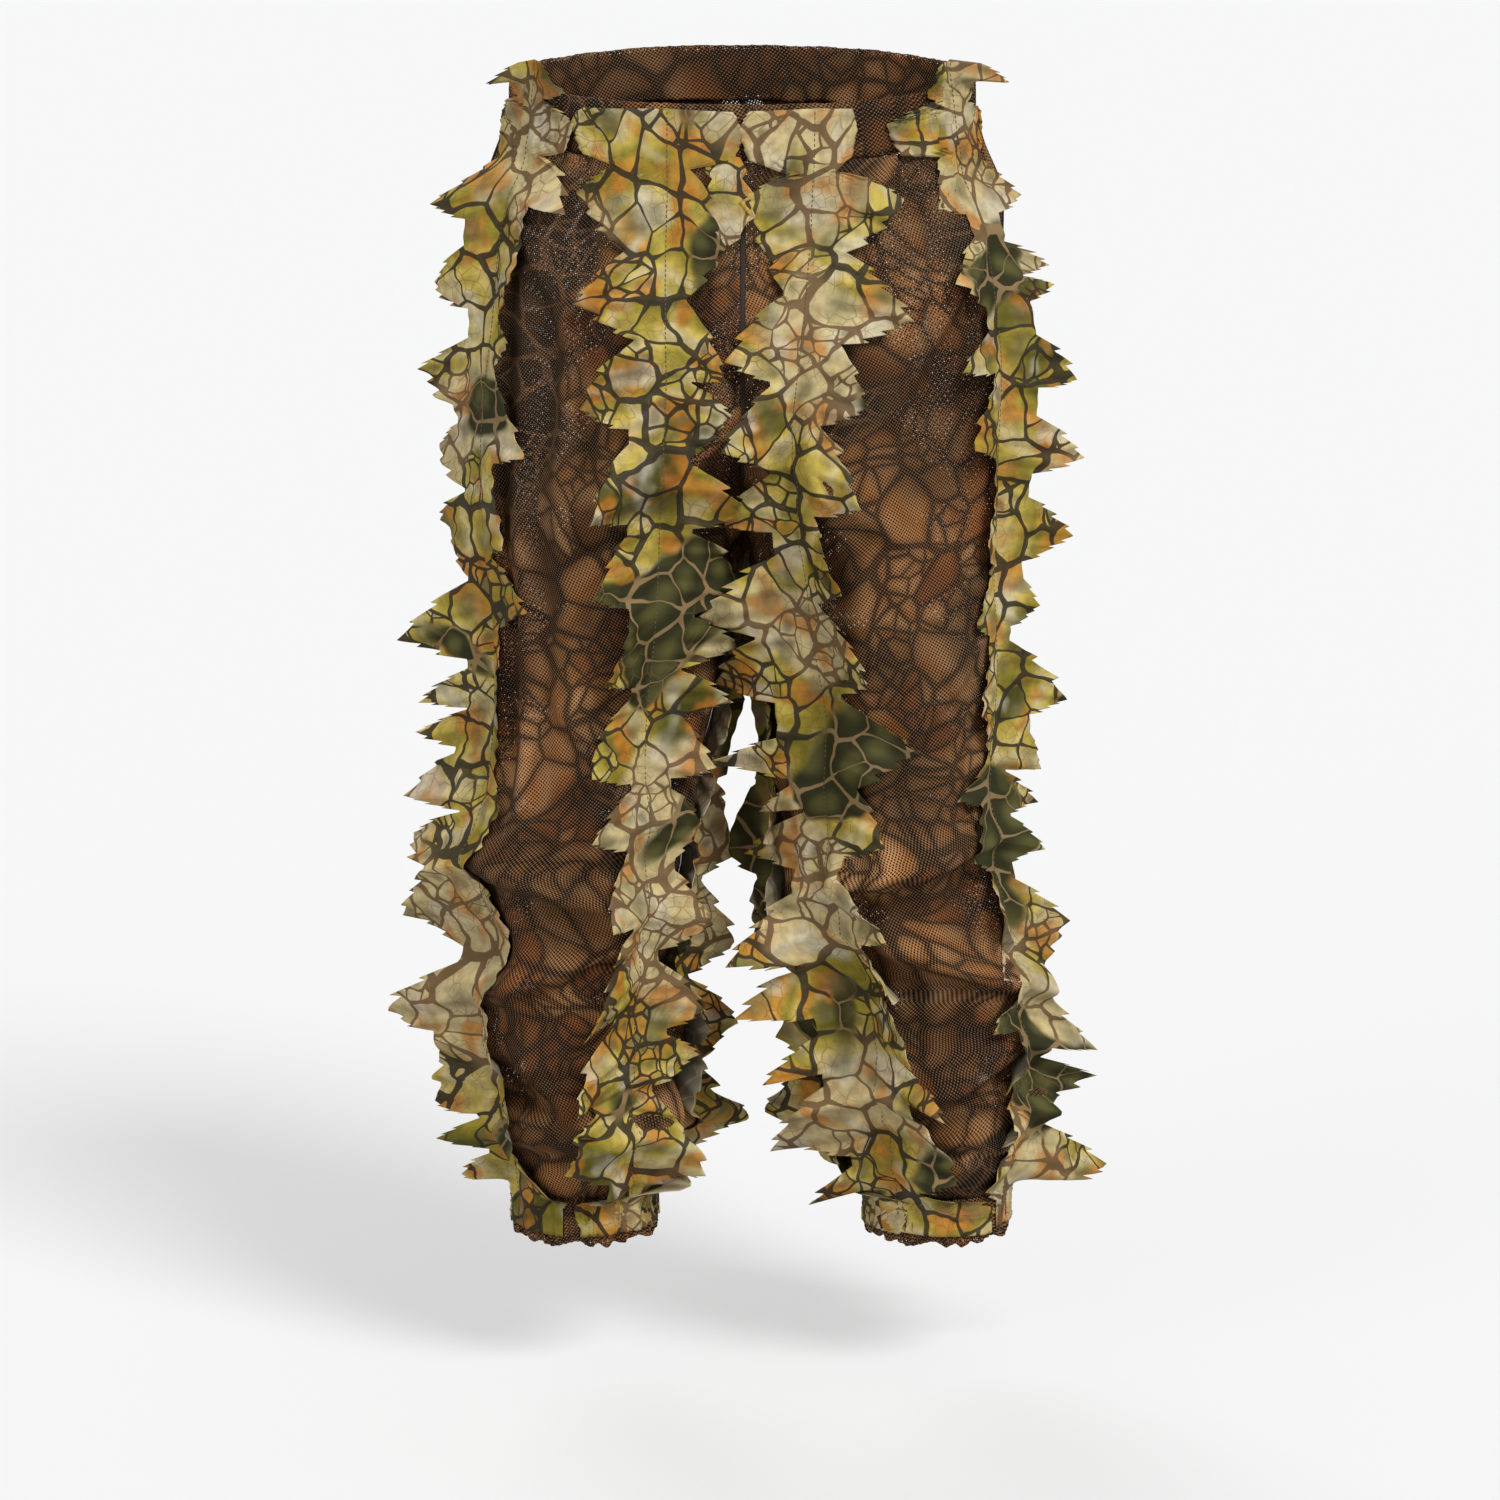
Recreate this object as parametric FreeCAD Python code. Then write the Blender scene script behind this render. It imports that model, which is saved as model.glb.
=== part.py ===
import FreeCAD, Part
import math
import os

# Leafy camouflage over-trousers: see-through net trousers with lobed leaf ribbons sewn
# down each leg, an elastic waist casing and elastic cuffs.  Millimetres.
# Frame: origin at the centre of the waist opening, +Z up, the front faces -Y and the
# wearer's left leg is on +X.

V = FreeCAD.Vector
os.makedirs("parts", exist_ok=True)

# ---- driving dimensions ---------------------------------------------------------------
NET_T = 1.5            # stand-in thickness of the net panels
LEAF_T = 1.2           # stand-in thickness of the leaf ribbons
WAIST_H = 45.0         # height of the waist casing
CASING_T = 5.0         # casing depth with the elastic inside
CUFF_H = 40.0          # height of each cuff casing
CUFF_R = 55.0          # inner radius of each cuff
LEG_END = -985.0       # height of the hems
WAIST_TILT = 0.16      # the waist is lower in front: rise per mm towards the back
TILT_END = -260.0      # height where that tilt has faded out
SEAM_GAP = 0.3         # half gap between neighbouring solids

HIP_Z = -300.0         # hip hinge height
HIP_Y = 0.0
HIP_R = 185.0          # radius of the hip split
KNEE_Z = -640.0        # knee hinge height
KNEE_Y = -8.0
KNEE_R = 132.0         # radius of the knee split
SPLIT_GAP = 1.0        # half gap on the split cylinders

# Heights with: outer half width, leg centre, half depth, y of the centre.
# Above the crotch each half is an ellipse cut off at the middle plane.
UPPER = [
    (0.0, 190.0, 0.0, 120.0, 0.0),
    (-45.0, 196.0, 2.0, 122.0, 0.0),
    (-100.0, 215.0, 10.0, 129.0, 0.0),
    (-200.0, 222.0, 42.0, 135.0, 0.0),
    (-300.0, 223.0, 82.0, 132.0, 0.0),
    (-385.0, 221.0, 112.0, 120.0, 0.0),
]
# Below the crotch: height, leg centre, half width, half depth, y of the centre.
LOWER = {
    -1: [(-385.0, 112.0, 109.0, 120.0, 0.0), (-520.0, 124.0, 97.0, 107.0, -3.0),
         (-640.0, 139.0, 90.0, 95.0, -8.0), (-770.0, 139.0, 87.0, 88.0, -3.0),
         (-880.0, 131.0, 80.0, 81.0, 5.0), (-925.0, 134.0, 69.0, 70.0, 8.0),
         (-945.0, 136.0, 60.0, 60.0, 8.0), (-985.0, 136.0, 60.0, 60.0, 8.0)],
    1: [(-385.0, 112.0, 109.0, 120.0, 0.0), (-520.0, 122.0, 97.0, 107.0, -3.0),
        (-640.0, 131.0, 89.0, 95.0, -8.0), (-770.0, 149.0, 90.0, 88.0, -3.0),
        (-880.0, 160.0, 84.0, 82.0, 5.0), (-925.0, 165.0, 71.0, 71.0, 8.0),
        (-945.0, 167.0, 60.0, 60.0, 8.0), (-985.0, 167.0, 60.0, 60.0, 8.0)],
}

# Leaf lobes of each ribbon edge: height where a lobe starts, its tip, where it ends, reach.
LOBES = {
    ("right", "front", "out"): [
        (-50, -68, -114, 75), (-114, -149, -192, 71), (-192, -247, -269, 72),
        (-280, -327, -345, 73), (-355, -399, -417, 58), (-425, -474, -487, 60),
        (-500, -554, -571, 60), (-576, -608, -627, 66), (-640, -687, -693, 58),
        (-700, -757, -768, 95), (-780, -828, -843, 79), (-850, -899, -917, 66),
        (-920, -950, -968, 48)],
    ("right", "front", "in"): [
        (-50, -112, -157, 52), (-160, -219, -229, 50), (-231, -253, -296, 50),
        (-300, -350, -360, 62), (-362, -392, -440, 52), (-446, -495, -505, 55),
        (-520, -553, -570, 60), (-580, -612, -640, 50), (-650, -690, -720, 55),
        (-730, -770, -790, 58), (-796, -815, -840, 62), (-845, -905, -925, 60),
        (-930, -955, -970, 40)],
    ("left", "front", "out"): [
        (-52, -63, -114, 73), (-114, -158, -194, 84), (-194, -245, -269, 60),
        (-269, -329, -345, 64), (-345, -399, -419, 56), (-424, -456, -491, 92),
        (-495, -527, -567, 85), (-571, -608, -633, 60), (-651, -697, -706, 54),
        (-714, -741, -753, 72), (-754, -796, -800, 76), (-808, -830, -835, 84),
        (-838, -908, -930, 62), (-934, -955, -962, 84)],
    ("left", "front", "in"): [
        (-54, -72, -153, 50), (-157, -208, -231, 54), (-235, -280, -307, 56),
        (-312, -355, -362, 56), (-383, -419, -441, 62), (-445, -482, -495, 76),
        (-537, -559, -571, 84), (-575, -590, -596, 60), (-600, -636, -651, 75),
        (-668, -706, -727, 84), (-731, -763, -774, 96), (-787, -815, -818, 82),
        (-830, -877, -895, 88), (-904, -955, -966, 84)],
    ("right", "side", "out"): [
        (-56, -82, -100, 66), (-121, -143, -177, 70), (-202, -218, -259, 70),
        (-275, -288, -333, 68), (-336, -362, -407, 70), (-410, -443, -474, 88),
        (-482, -503, -516, 74), (-517, -528, -550, 80), (-558, -596, -606, 75),
        (-607, -615, -648, 84), (-651, -689, -723, 78), (-736, -774, -796, 94),
        (-817, -866, -873, 70), (-876, -888, -904, 56), (-908, -925, -938, 60),
        (-943, -966, -975, 42)],
    ("right", "side", "in"): [
        (-50, -78, -84, 74), (-90, -150, -184, 32), (-187, -205, -228, 36),
        (-235, -288, -305, 60), (-310, -378, -385, 30), (-390, -430, -448, 50),
        (-455, -520, -560, 26), (-570, -596, -640, 30), (-650, -700, -770, 26),
        (-810, -884, -893, 52), (-897, -943, -950, 52)],
    ("left", "side", "out"): [
        (-56, -82, -100, 50), (-125, -145, -153, 66), (-154, -160, -175, 60),
        (-202, -238, -247, 72), (-271, -301, -320, 70), (-341, -374, -395, 75),
        (-407, -425, -449, 40), (-462, -512, -524, 72), (-537, -566, -571, 48),
        (-572, -596, -608, 52), (-610, -634, -650, 40), (-662, -690, -736, 60),
        (-764, -804, -810, 66), (-820, -826, -860, 78), (-880, -908, -930, 98),
        (-940, -960, -972, 40)],
    ("left", "side", "in"): [
        (-50, -84, -96, 40), (-114, -137, -173, 62), (-194, -214, -231, 66),
        (-235, -292, -305, 52), (-310, -380, -405, 28), (-407, -442, -453, 44),
        (-458, -510, -550, 24), (-562, -583, -596, 50), (-600, -640, -655, 26),
        (-660, -710, -715, 46), (-720, -735, -745, 24), (-745, -783, -788, 46),
        (-790, -830, -835, 54), (-840, -878, -882, 56), (-886, -930, -950, 28)],
}
RIBBON_TOP = -48.0
RIBBON_END = -975.0
INNER_TOP = -405.0
VALLEY = 13.0          # half width left between two lobes

# Centre lines of the front ribbons: height, x.
FRONT_LINE = {
    -1: [(0.0, -60.0), (-235.0, -61.0), (-524.0, -78.0), (-776.0, -88.0), (-985.0, -98.0)],
    1: [(0.0, 58.0), (-112.0, 56.0), (-277.0, 40.0), (-441.0, 56.0), (-524.0, 72.0),
        (-650.0, 68.0), (-776.0, 104.0), (-862.0, 118.0), (-985.0, 140.0)],
}


# ---- shape of the garment -------------------------------------------------------------
def smooth_table(rows, z):
    """Values between two table heights, eased with a cubic so that slopes stay soft."""
    if z >= rows[0][0]:
        return rows[0][1:]
    for i in range(len(rows) - 1):
        top, low = rows[i], rows[i + 1]
        if z >= low[0]:
            u = (top[0] - z) / (top[0] - low[0])
            before = rows[i - 1] if i > 0 else top
            after = rows[i + 2] if i + 2 < len(rows) else low
            out = []
            for k in range(1, len(top)):
                span = top[0] - low[0]
                m0 = (low[k] - before[k]) / max(before[0] - low[0], 1e-6) * span
                m1 = (after[k] - top[k]) / max(top[0] - after[0], 1e-6) * span
                u2, u3 = u * u, u * u * u
                out.append((2 * u3 - 3 * u2 + 1) * top[k] + (u3 - 2 * u2 + u) * m0
                           + (3 * u2 - 2 * u3) * low[k] + (u3 - u2) * m1)
            return out
    return rows[-1][1:]


def leg_section(s, z):
    """Centre x (unsigned), half width, half depth and centre y of one half at height z."""
    if z > -385.0:
        outer, xc, b, yc = smooth_table(UPPER, z)
        return xc, outer - xc, b, yc
    return smooth_table(LOWER[s], z)


def tilt(z):
    """Full tilt down to the lower edge of the waist casing, then fading out."""
    return WAIST_TILT * max(0.0, min(1.0, (z - TILT_END) / (-WAIST_H - 1.0 - TILT_END)))


def inner_angle(s, z, off):
    """Angle where the section meets the middle plane, or a half turn below the crotch."""
    xc, a, b, yc = leg_section(s, z)
    ratio = (xc - SEAM_GAP) / (a + off)
    if ratio >= 1.0:
        return math.pi
    return math.acos(-ratio)


def skin_point(s, z, th, face, off):
    """Point of the skin: angle 0 is the outer side, face -1 is the front, +1 the back."""
    xc, a, b, yc = leg_section(s, z)
    x = s * (xc + (a + off) * math.cos(th))
    y = yc + face * (b + off) * math.sin(th)
    return V(x, y, z + tilt(z) * y)


def arc(points):
    curve = Part.BSplineCurve()
    curve.interpolate(points)
    return curve.toShape()


def band_wire(s, z, face, out_off, in_off, start=0.0, stop=None, n=13):
    """Closed wire of one thin curved slice, from the outer side to the middle or inseam."""
    rims = []
    for off in (out_off, in_off):
        last = inner_angle(s, z, off) if stop is None else stop
        gap = SEAM_GAP / 100.0
        a0, a1 = start + gap, last - gap
        rims.append([skin_point(s, z, a0 + (a1 - a0) * i / (n - 1), face, off)
                     for i in range(n)])
    outer, inner = rims
    return Part.Wire([arc(outer), Part.makeLine(outer[-1], inner[-1]),
                      arc(inner[::-1]), Part.makeLine(inner[0], outer[0])])


def panel(s, face, z_top, z_low, step):
    heights = []
    count = max(2, int(round((z_top - z_low) / step)) + 1)
    for i in range(count):
        heights.append(z_top + (z_low - z_top) * i / (count - 1))
    if z_top > -378.0 > z_low:
        heights += [-362.0, -371.0, -376.0, -380.0]
    heights = sorted(set(heights), reverse=True)
    wires = [band_wire(s, z, face, 0.0, -NET_T) for z in heights]
    return Part.makeLoft(wires, True, True)


# ---- regions of the moving bodies -----------------------------------------------------
def prism_yz(points, x0, x1):
    pts = [V(x0, y, z) for y, z in points]
    wire = Part.makePolygon(pts + [pts[0]])
    return Part.Face(wire).extrude(V(x1 - x0, 0, 0))


def ray(y0, z0, angle, side, length=500.0):
    """Point at a distance from (y0, z0); the angle is from straight down, side -1 front."""
    a = math.radians(angle)
    return (y0 + side * length * math.sin(a), z0 - length * math.cos(a))


def x_cylinder(y, z, r, x0, x1):
    return Part.makeCylinder(r, x1 - x0, V(x0, y, z), V(1, 0, 0))


FAR = 420.0
HIP_FRONT, HIP_BACK = 113.0, 62.0      # angles above which ribbons stay with the hips
LEG_CONE = 50.0                        # angle below which they move with the leg
KNEE_FRONT, KNEE_BACK = 51.5, 128.0


def hips_region():
    top = prism_yz([ray(HIP_Y, HIP_Z, HIP_FRONT, -1), (HIP_Y, HIP_Z),
                    ray(HIP_Y, HIP_Z, HIP_BACK, 1), (FAR + 80, 300), (-FAR - 80, 300)],
                   -FAR, FAR)
    return top.fuse(x_cylinder(HIP_Y, HIP_Z, HIP_R - SPLIT_GAP, -FAR, FAR))


def below_region(y, z, r, x0, x1):
    wedge = prism_yz([(y, z), ray(y, z, LEG_CONE, -1), (-FAR, -1300), (FAR, -1300),
                      ray(y, z, LEG_CONE, 1)], x0, x1)
    return wedge.cut(x_cylinder(y, z, r + SPLIT_GAP, x0 - 5, x1 + 5))


def leg_range(s):
    return (1.0, FAR) if s > 0 else (-FAR, -1.0)


def thigh_region(s):
    x0, x1 = leg_range(s)
    above = prism_yz([ray(KNEE_Y, KNEE_Z, KNEE_FRONT, -1), (KNEE_Y, KNEE_Z),
                      ray(KNEE_Y, KNEE_Z, KNEE_BACK, 1), (FAR + 80, 300), (-FAR - 80, 300)],
                     x0, x1)
    above = above.fuse(x_cylinder(KNEE_Y, KNEE_Z, KNEE_R - SPLIT_GAP, x0, x1))
    return above.common(below_region(HIP_Y, HIP_Z, HIP_R, x0, x1))


def shank_region(s):
    x0, x1 = leg_range(s)
    return below_region(KNEE_Y, KNEE_Z, KNEE_R, x0, x1)


def biggest(shape):
    """The largest solid: slivers that a region leaves behind are dropped."""
    return max(shape.Solids, key=lambda one: one.Volume)


def keep_large(shape, least=60.0):
    solids = [one for one in shape.Solids if one.Volume > least]
    solids.sort(key=lambda one: -one.Volume)
    return solids[0] if len(solids) == 1 else Part.makeCompound(solids)


# ---- leaf ribbons ---------------------------------------------------------------------
def table_value(rows, z):
    if z >= rows[0][0]:
        return rows[0][1]
    for (z0, v0), (z1, v1) in zip(rows, rows[1:]):
        if z >= z1:
            return v0 + (v1 - v0) * (z0 - z) / (z0 - z1)
    return rows[-1][1]


def plain_lobes(top, low, first, reaches):
    """Regular lobes for the edges that hang at the back and between the legs."""
    rows = []
    z, i = top - first, 0
    while z - 60 > low:
        reach = reaches[i % len(reaches)]
        pitch = 72 + 4 * (i % 4)
        rows.append((z, z - 0.62 * pitch, z - pitch, reach))
        z -= pitch + 4
        i += 1
    return rows


def edge_profile(lobes, top, low):
    """Corner points (height, reach) of one ribbon edge from its list of lobes."""
    pts = [(top, VALLEY)]
    for z0, zt, z1, reach in lobes:
        if z0 > top or z1 < low:
            continue
        z0 = min(z0, pts[-1][0] - 1.0)
        pts.append((z0, VALLEY))
        pts.append((z0 + 0.30 * (zt - z0), VALLEY + 0.52 * (reach - VALLEY)))
        pts.append((z0 + 0.75 * (zt - z0), VALLEY + 0.78 * (reach - VALLEY)))
        pts.append((zt, reach))
        pts.append((zt + 0.5 * (z1 - zt), VALLEY + 0.45 * (reach - VALLEY)))
        pts.append((z1, VALLEY))
    pts.append((min(low, pts[-1][0] - 2.0), VALLEY))
    return pts


def ribbon_place(s, name, z):
    """Centre point of a ribbon with its tangent and outward normal in the XY plane."""
    xc, a, b, yc = leg_section(s, z)
    if name == "front":
        x = table_value(FRONT_LINE[s], z) * s
        c = max(-0.93, min(0.93, (x - xc) / a))
        th, face = math.acos(c), -1
    elif name == "back":
        back = xc + 0.10 * a if z < -300 else 70.0 + (xc + 0.1 * a - 70.0) * (-z / 300.0)
        c = (back - xc) / a
        th, face = math.acos(c), 1
    elif name == "side":
        th, face = math.radians(28.0), -1
    else:
        th, face = math.pi, -1
    p = skin_point(s, z, th, face, 0.0)
    tx, ty = -a * math.sin(th) * s, face * b * math.cos(th)
    size = math.hypot(tx, ty)
    t = V(tx / size, ty / size, 0)
    n = V(s * math.cos(th) / a, face * math.sin(th) / b, 0)
    n.normalize()
    return p, t, n


LIFT = {"front": (14.0, 14.0), "back": (20.0, 20.0), "side": (32.0, 12.0),
        "inner": (24.0, 24.0)}
LIFT_OFF = 2.2         # ribbons float this far off the net


def ribbon(s, side, name, z_top, z_low):
    """V-shaped lobed ribbon: out is the edge towards angle 0, in the edge away from it."""
    if name in ("front", "side"):
        outs = LOBES[(side, name, "out")]
        ins = LOBES[(side, name, "in")]
    elif name == "back":
        outs = plain_lobes(RIBBON_TOP, RIBBON_END, 6, (76, 70, 82, 74, 66))
        ins = plain_lobes(RIBBON_TOP, RIBBON_END, 24, (58, 64, 56, 66))
    else:
        outs = plain_lobes(INNER_TOP, RIBBON_END, 8, (48, 54, 60, 52))
        ins = plain_lobes(INNER_TOP, RIBBON_END, 30, (50, 46, 56))
    end = RIBBON_END
    top = INNER_TOP if name == "inner" else RIBBON_TOP
    edge_o = edge_profile(outs, top, end)
    edge_i = edge_profile(ins, top, end)
    heights = {max(min(z_top, top), z_low), z_low}
    for z, _ in edge_o + edge_i:
        if z_low < z < min(z_top, top):
            heights.add(z)
    heights = sorted(heights, reverse=True)
    spaced = [heights[0]]
    for z in heights[1:]:
        if spaced[-1] - z >= 2.5:
            spaced.append(z)
    lift_o, lift_i = (math.radians(v) for v in LIFT[name])
    wires = []
    for z in spaced:
        p, t, n = ribbon_place(s, name, z)
        wo, wi = table_value(edge_o, z), table_value(edge_i, z)
        base = p + n * LIFT_OFF
        # the tangent points away from angle 0, so the outer wing runs against it
        tip_o = base - t * (wo * math.cos(lift_o)) + n * (wo * math.sin(lift_o))
        tip_i = base + t * (wi * math.cos(lift_i)) + n * (wi * math.sin(lift_i))
        up = n * LEAF_T
        pts = [tip_o, base, tip_i, tip_i + up, base + up, tip_o + up]
        wires.append(Part.makePolygon(pts + [pts[0]]))
    return Part.makeLoft(wires, True, True)


# ---- build ----------------------------------------------------------------------------
def save(node, shape):
    shape.exportStep("parts/" + node + ".step")
    print(node, "solids", len(shape.Solids), "valid", shape.isValid(),
          "cm3", round(shape.Volume / 1000.0, 1))


def closed_ring(off, z0, z1):
    """Solid inside the waist outline between two heights."""
    wires = []
    for z in (z0, z1):
        pts = []
        for k in range(48):
            a = 2 * math.pi * k / 48
            x = (190.0 + off) * math.cos(a)
            y = (120.0 + off) * math.sin(a)
            pts.append(V(x, y, z + WAIST_TILT * y))
        curve = Part.BSplineCurve()
        curve.interpolate(pts, PeriodicFlag=True)
        wires.append(Part.Wire([curve.toShape()]))
    return Part.makeLoft(wires, True, True)


def half_box(face, gap):
    if face < 0:
        return Part.makeBox(800, 400, 400, V(-400, -400 - gap, -200))
    return Part.makeBox(800, 400, 400, V(-400, gap, -200))


def angle_box(a0, a1):
    """Wedge about Z between two directions, in degrees from +X, for cutting the bands."""
    pts = [V(0, 0, -200)]
    for k in range(9):
        a = math.radians(a0 + (a1 - a0) * k / 8)
        pts.append(V(600 * math.cos(a), 600 * math.sin(a), -200))
    return Part.Face(Part.makePolygon(pts + [pts[0]])).extrude(V(0, 0, 400))


outer_band = closed_ring(0.0, 0.0, -WAIST_H).cut(closed_ring(-CASING_T, 5.0, -WAIST_H - 5))
pocket = closed_ring(-1.3, -3.0, -WAIST_H + 3).cut(closed_ring(-3.7, 5.0, -WAIST_H - 5))
casing = outer_band.cut(pocket)
save("waist_casing_front", biggest(casing.common(half_box(-1, SEAM_GAP))))
save("waist_casing_back", biggest(casing.common(half_box(1, SEAM_GAP))))
elastic = closed_ring(-1.6, -3.5, -WAIST_H + 3.5).cut(closed_ring(-3.4, 5.0, -WAIST_H - 5))
save("waist_elastic", biggest(elastic))

leaf_ring = closed_ring(2.0 + LEAF_T, -3.0, -WAIST_H).cut(closed_ring(2.0, 5.0, -WAIST_H - 5))
# The top ends of the front, side and back ribbons run up over the waist casing.
TOPS = [("right_front_leaf_top", 226.0, 261.0), ("left_front_leaf_top", 271.0, 298.0),
        ("right_side_leaf_top", 186.0, 218.0), ("left_side_leaf_top", 313.0, 352.0),
        ("right_back_leaf_top", 98.0, 132.0), ("left_back_leaf_top", 48.0, 82.0)]
for node, a0, a1 in TOPS:
    save(node, biggest(leaf_ring.common(angle_box(a0, a1))))

# The loose leaf end that hangs from the front of the waist, on a plane leaning outwards.
TAB = [(-34, 0.0), (0, 0.0), (3, 0.42), (-5, 1.0), (-14, 0.74), (-24, 0.80), (-31, 0.45)]


def tab_point(x, u):
    return V(x, -128.0 - 25.0 * u, -50.0 - 68.0 * u)


tab_points = [tab_point(x, u) for x, u in TAB]
tab = Part.Face(Part.makePolygon(tab_points + [tab_points[0]]))
save("waist_leaf_tab", tab.extrude(V(0, -LEAF_T, 0)))

hips = hips_region()
for s, side in ((-1, "right"), (1, "left")):
    x0, x1 = leg_range(s)
    half_space = Part.makeBox(x1 - x0, 900, 1500, V(x0, -450, -1200))
    thigh = thigh_region(s)
    shank = shank_region(s)
    for face, name in ((-1, "front"), (1, "back")):
        upper = panel(s, face, -WAIST_H - 0.6, -495.0, 30.0)
        save(side + "_" + name + "_hip_panel", biggest(upper.common(hips)))
        middle = panel(s, face, -415.0, -785.0, 37.0)
        save(side + "_" + name + "_thigh_panel", biggest(middle.common(thigh)))
        lower = panel(s, face, -715.0, LEG_END + CUFF_H + 0.6, 23.0)
        save(side + "_" + name + "_shank_panel", biggest(lower.common(shank)))
    for name in ("front", "side", "back", "inner"):
        if name != "inner":
            upper = ribbon(s, side, name, RIBBON_TOP, -492.0).common(half_space)
            save(side + "_" + name + "_leaf_hip", keep_large(upper.common(hips)))
        middle = ribbon(s, side, name, -330.0, -790.0)
        save(side + "_" + name + "_leaf_thigh", keep_large(middle.common(thigh)))
        lower = ribbon(s, side, name, -700.0, RIBBON_END)
        save(side + "_" + name + "_leaf_shank", keep_large(lower.common(shank)))
    cx, cy = s * LOWER[s][-1][1], LOWER[s][-1][4]

    def tube(r0, r1, z0, z1):
        big = Part.makeCylinder(r1, z1 - z0, V(cx, cy, z0))
        return big.cut(Part.makeCylinder(r0, z1 - z0 + 2, V(cx, cy, z0 - 1)))

    ring = tube(CUFF_R, CUFF_R + CASING_T, LEG_END, LEG_END + CUFF_H)
    ring = ring.cut(tube(CUFF_R + 1.3, CUFF_R + 3.7, LEG_END + 3, LEG_END + CUFF_H - 3))
    front = Part.makeBox(300, 200, 100, V(cx - 150, cy - 200 - SEAM_GAP, LEG_END - 20))
    back = Part.makeBox(300, 200, 100, V(cx - 150, cy + SEAM_GAP, LEG_END - 20))
    save(side + "_cuff_front", biggest(ring.common(front)))
    save(side + "_cuff_back", biggest(ring.common(back)))
    save(side + "_cuff_elastic", tube(CUFF_R + 1.6, CUFF_R + 3.4, LEG_END + 3.5,
                                      LEG_END + CUFF_H - 3.5))
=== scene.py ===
# %% [markdown]
# # Leafy camouflage over-trousers
# Trousers of dark see-through net, covered with ribbons of leaf-printed cloth. Each ribbon is
# sewn down along its middle only, so its lobed edges lift off the net and throw soft shadows.
# The CAD model is the frame: it holds sizes, joints and bodies. This script builds the cloth.

# %% Load the frame
import math
import bmesh
import bpy
import numpy as np
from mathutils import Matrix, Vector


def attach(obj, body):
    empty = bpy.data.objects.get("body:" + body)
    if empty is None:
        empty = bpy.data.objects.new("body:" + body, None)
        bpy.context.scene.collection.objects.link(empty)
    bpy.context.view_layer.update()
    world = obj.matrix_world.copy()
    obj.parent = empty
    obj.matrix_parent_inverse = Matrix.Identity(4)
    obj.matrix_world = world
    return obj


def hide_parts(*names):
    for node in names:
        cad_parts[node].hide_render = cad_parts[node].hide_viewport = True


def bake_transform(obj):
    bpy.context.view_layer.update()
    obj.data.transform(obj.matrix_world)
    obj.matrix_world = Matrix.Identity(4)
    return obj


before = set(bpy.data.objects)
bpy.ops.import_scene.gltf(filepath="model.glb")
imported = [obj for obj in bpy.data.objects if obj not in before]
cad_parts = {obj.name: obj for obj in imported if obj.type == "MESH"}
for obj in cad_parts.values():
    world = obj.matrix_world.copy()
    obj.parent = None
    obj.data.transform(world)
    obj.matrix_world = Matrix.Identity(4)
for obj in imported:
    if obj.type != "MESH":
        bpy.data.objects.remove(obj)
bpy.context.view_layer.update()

# %% [markdown]
# ## The shape that the net hangs in
# One table gives the body shape from the waist to the crotch, two more give the legs. A leg is
# an ellipse at each height. Above the crotch it is cut off at the middle plane, where the left
# and the right half meet in a seam.

# %% Section tables
UPPER = np.array([      # height, outer half width, leg centre, half depth, centre y
    (0, 190, 0, 120, 0), (-45, 196, 2, 122, 0), (-100, 215, 10, 129, 0),
    (-200, 222, 42, 135, 0), (-300, 223, 82, 132, 0), (-385, 221, 112, 120, 0)]) / 1000
LOWER = {               # height, leg centre, half width, half depth, centre y
    -1: np.array([(-385, 112, 109, 120, 0), (-520, 124, 97, 107, -3), (-640, 139, 90, 95, -8),
                  (-770, 139, 87, 88, -3), (-880, 131, 80, 81, 5), (-925, 134, 69, 70, 8),
                  (-945, 136, 60, 60, 8), (-985, 136, 60, 60, 8)]) / 1000,
    1: np.array([(-385, 112, 109, 120, 0), (-520, 122, 97, 107, -3), (-640, 131, 89, 95, -8),
                 (-770, 149, 90, 88, -3), (-880, 160, 84, 82, 5), (-925, 165, 71, 71, 8),
                 (-945, 167, 60, 60, 8), (-985, 167, 60, 60, 8)]) / 1000,
}
CROTCH = -0.385
WAIST_H, CUFF_TOP, HEM = 0.045, -0.945, -0.985
TILT, TILT_END = 0.16, -0.26
SIDES = {-1: "right", 1: "left"}


def table_at(rows, z):
    """Row values at heights z: a cubic between table rows, slopes taken from neighbours."""
    z = np.clip(z, rows[-1, 0], rows[0, 0])
    i = np.clip(np.searchsorted(-rows[:, 0], -z, side="right") - 1, 0, len(rows) - 2)
    top, low = rows[i], rows[i + 1]
    before, after = rows[np.maximum(i - 1, 0)], rows[np.minimum(i + 2, len(rows) - 1)]
    span = (top[:, :1] - low[:, :1])
    u = (top[:, :1] - z[:, None]) / span
    m0 = (low - before) / (before[:, :1] - low[:, :1]) * span
    m1 = (after - top) / (top[:, :1] - after[:, :1]) * span
    return ((2 * u**3 - 3 * u**2 + 1) * top + (u**3 - 2 * u**2 + u) * m0
            + (3 * u**2 - 2 * u**3) * low + (u**3 - u**2) * m1)


def section(s, z):
    """Leg centre, half width, half depth and centre y of half s at heights z."""
    z = np.asarray(z, float)
    up, low = table_at(UPPER, z.ravel()), table_at(LOWER[s], z.ravel())
    body = (z.ravel() > CROTCH)[:, None]
    both = np.where(body, np.stack([up[:, 2], up[:, 1] - up[:, 2], up[:, 3], up[:, 4]], 1),
                    low[:, 1:5])
    return [both[:, k].reshape(z.shape) for k in range(4)]


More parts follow.
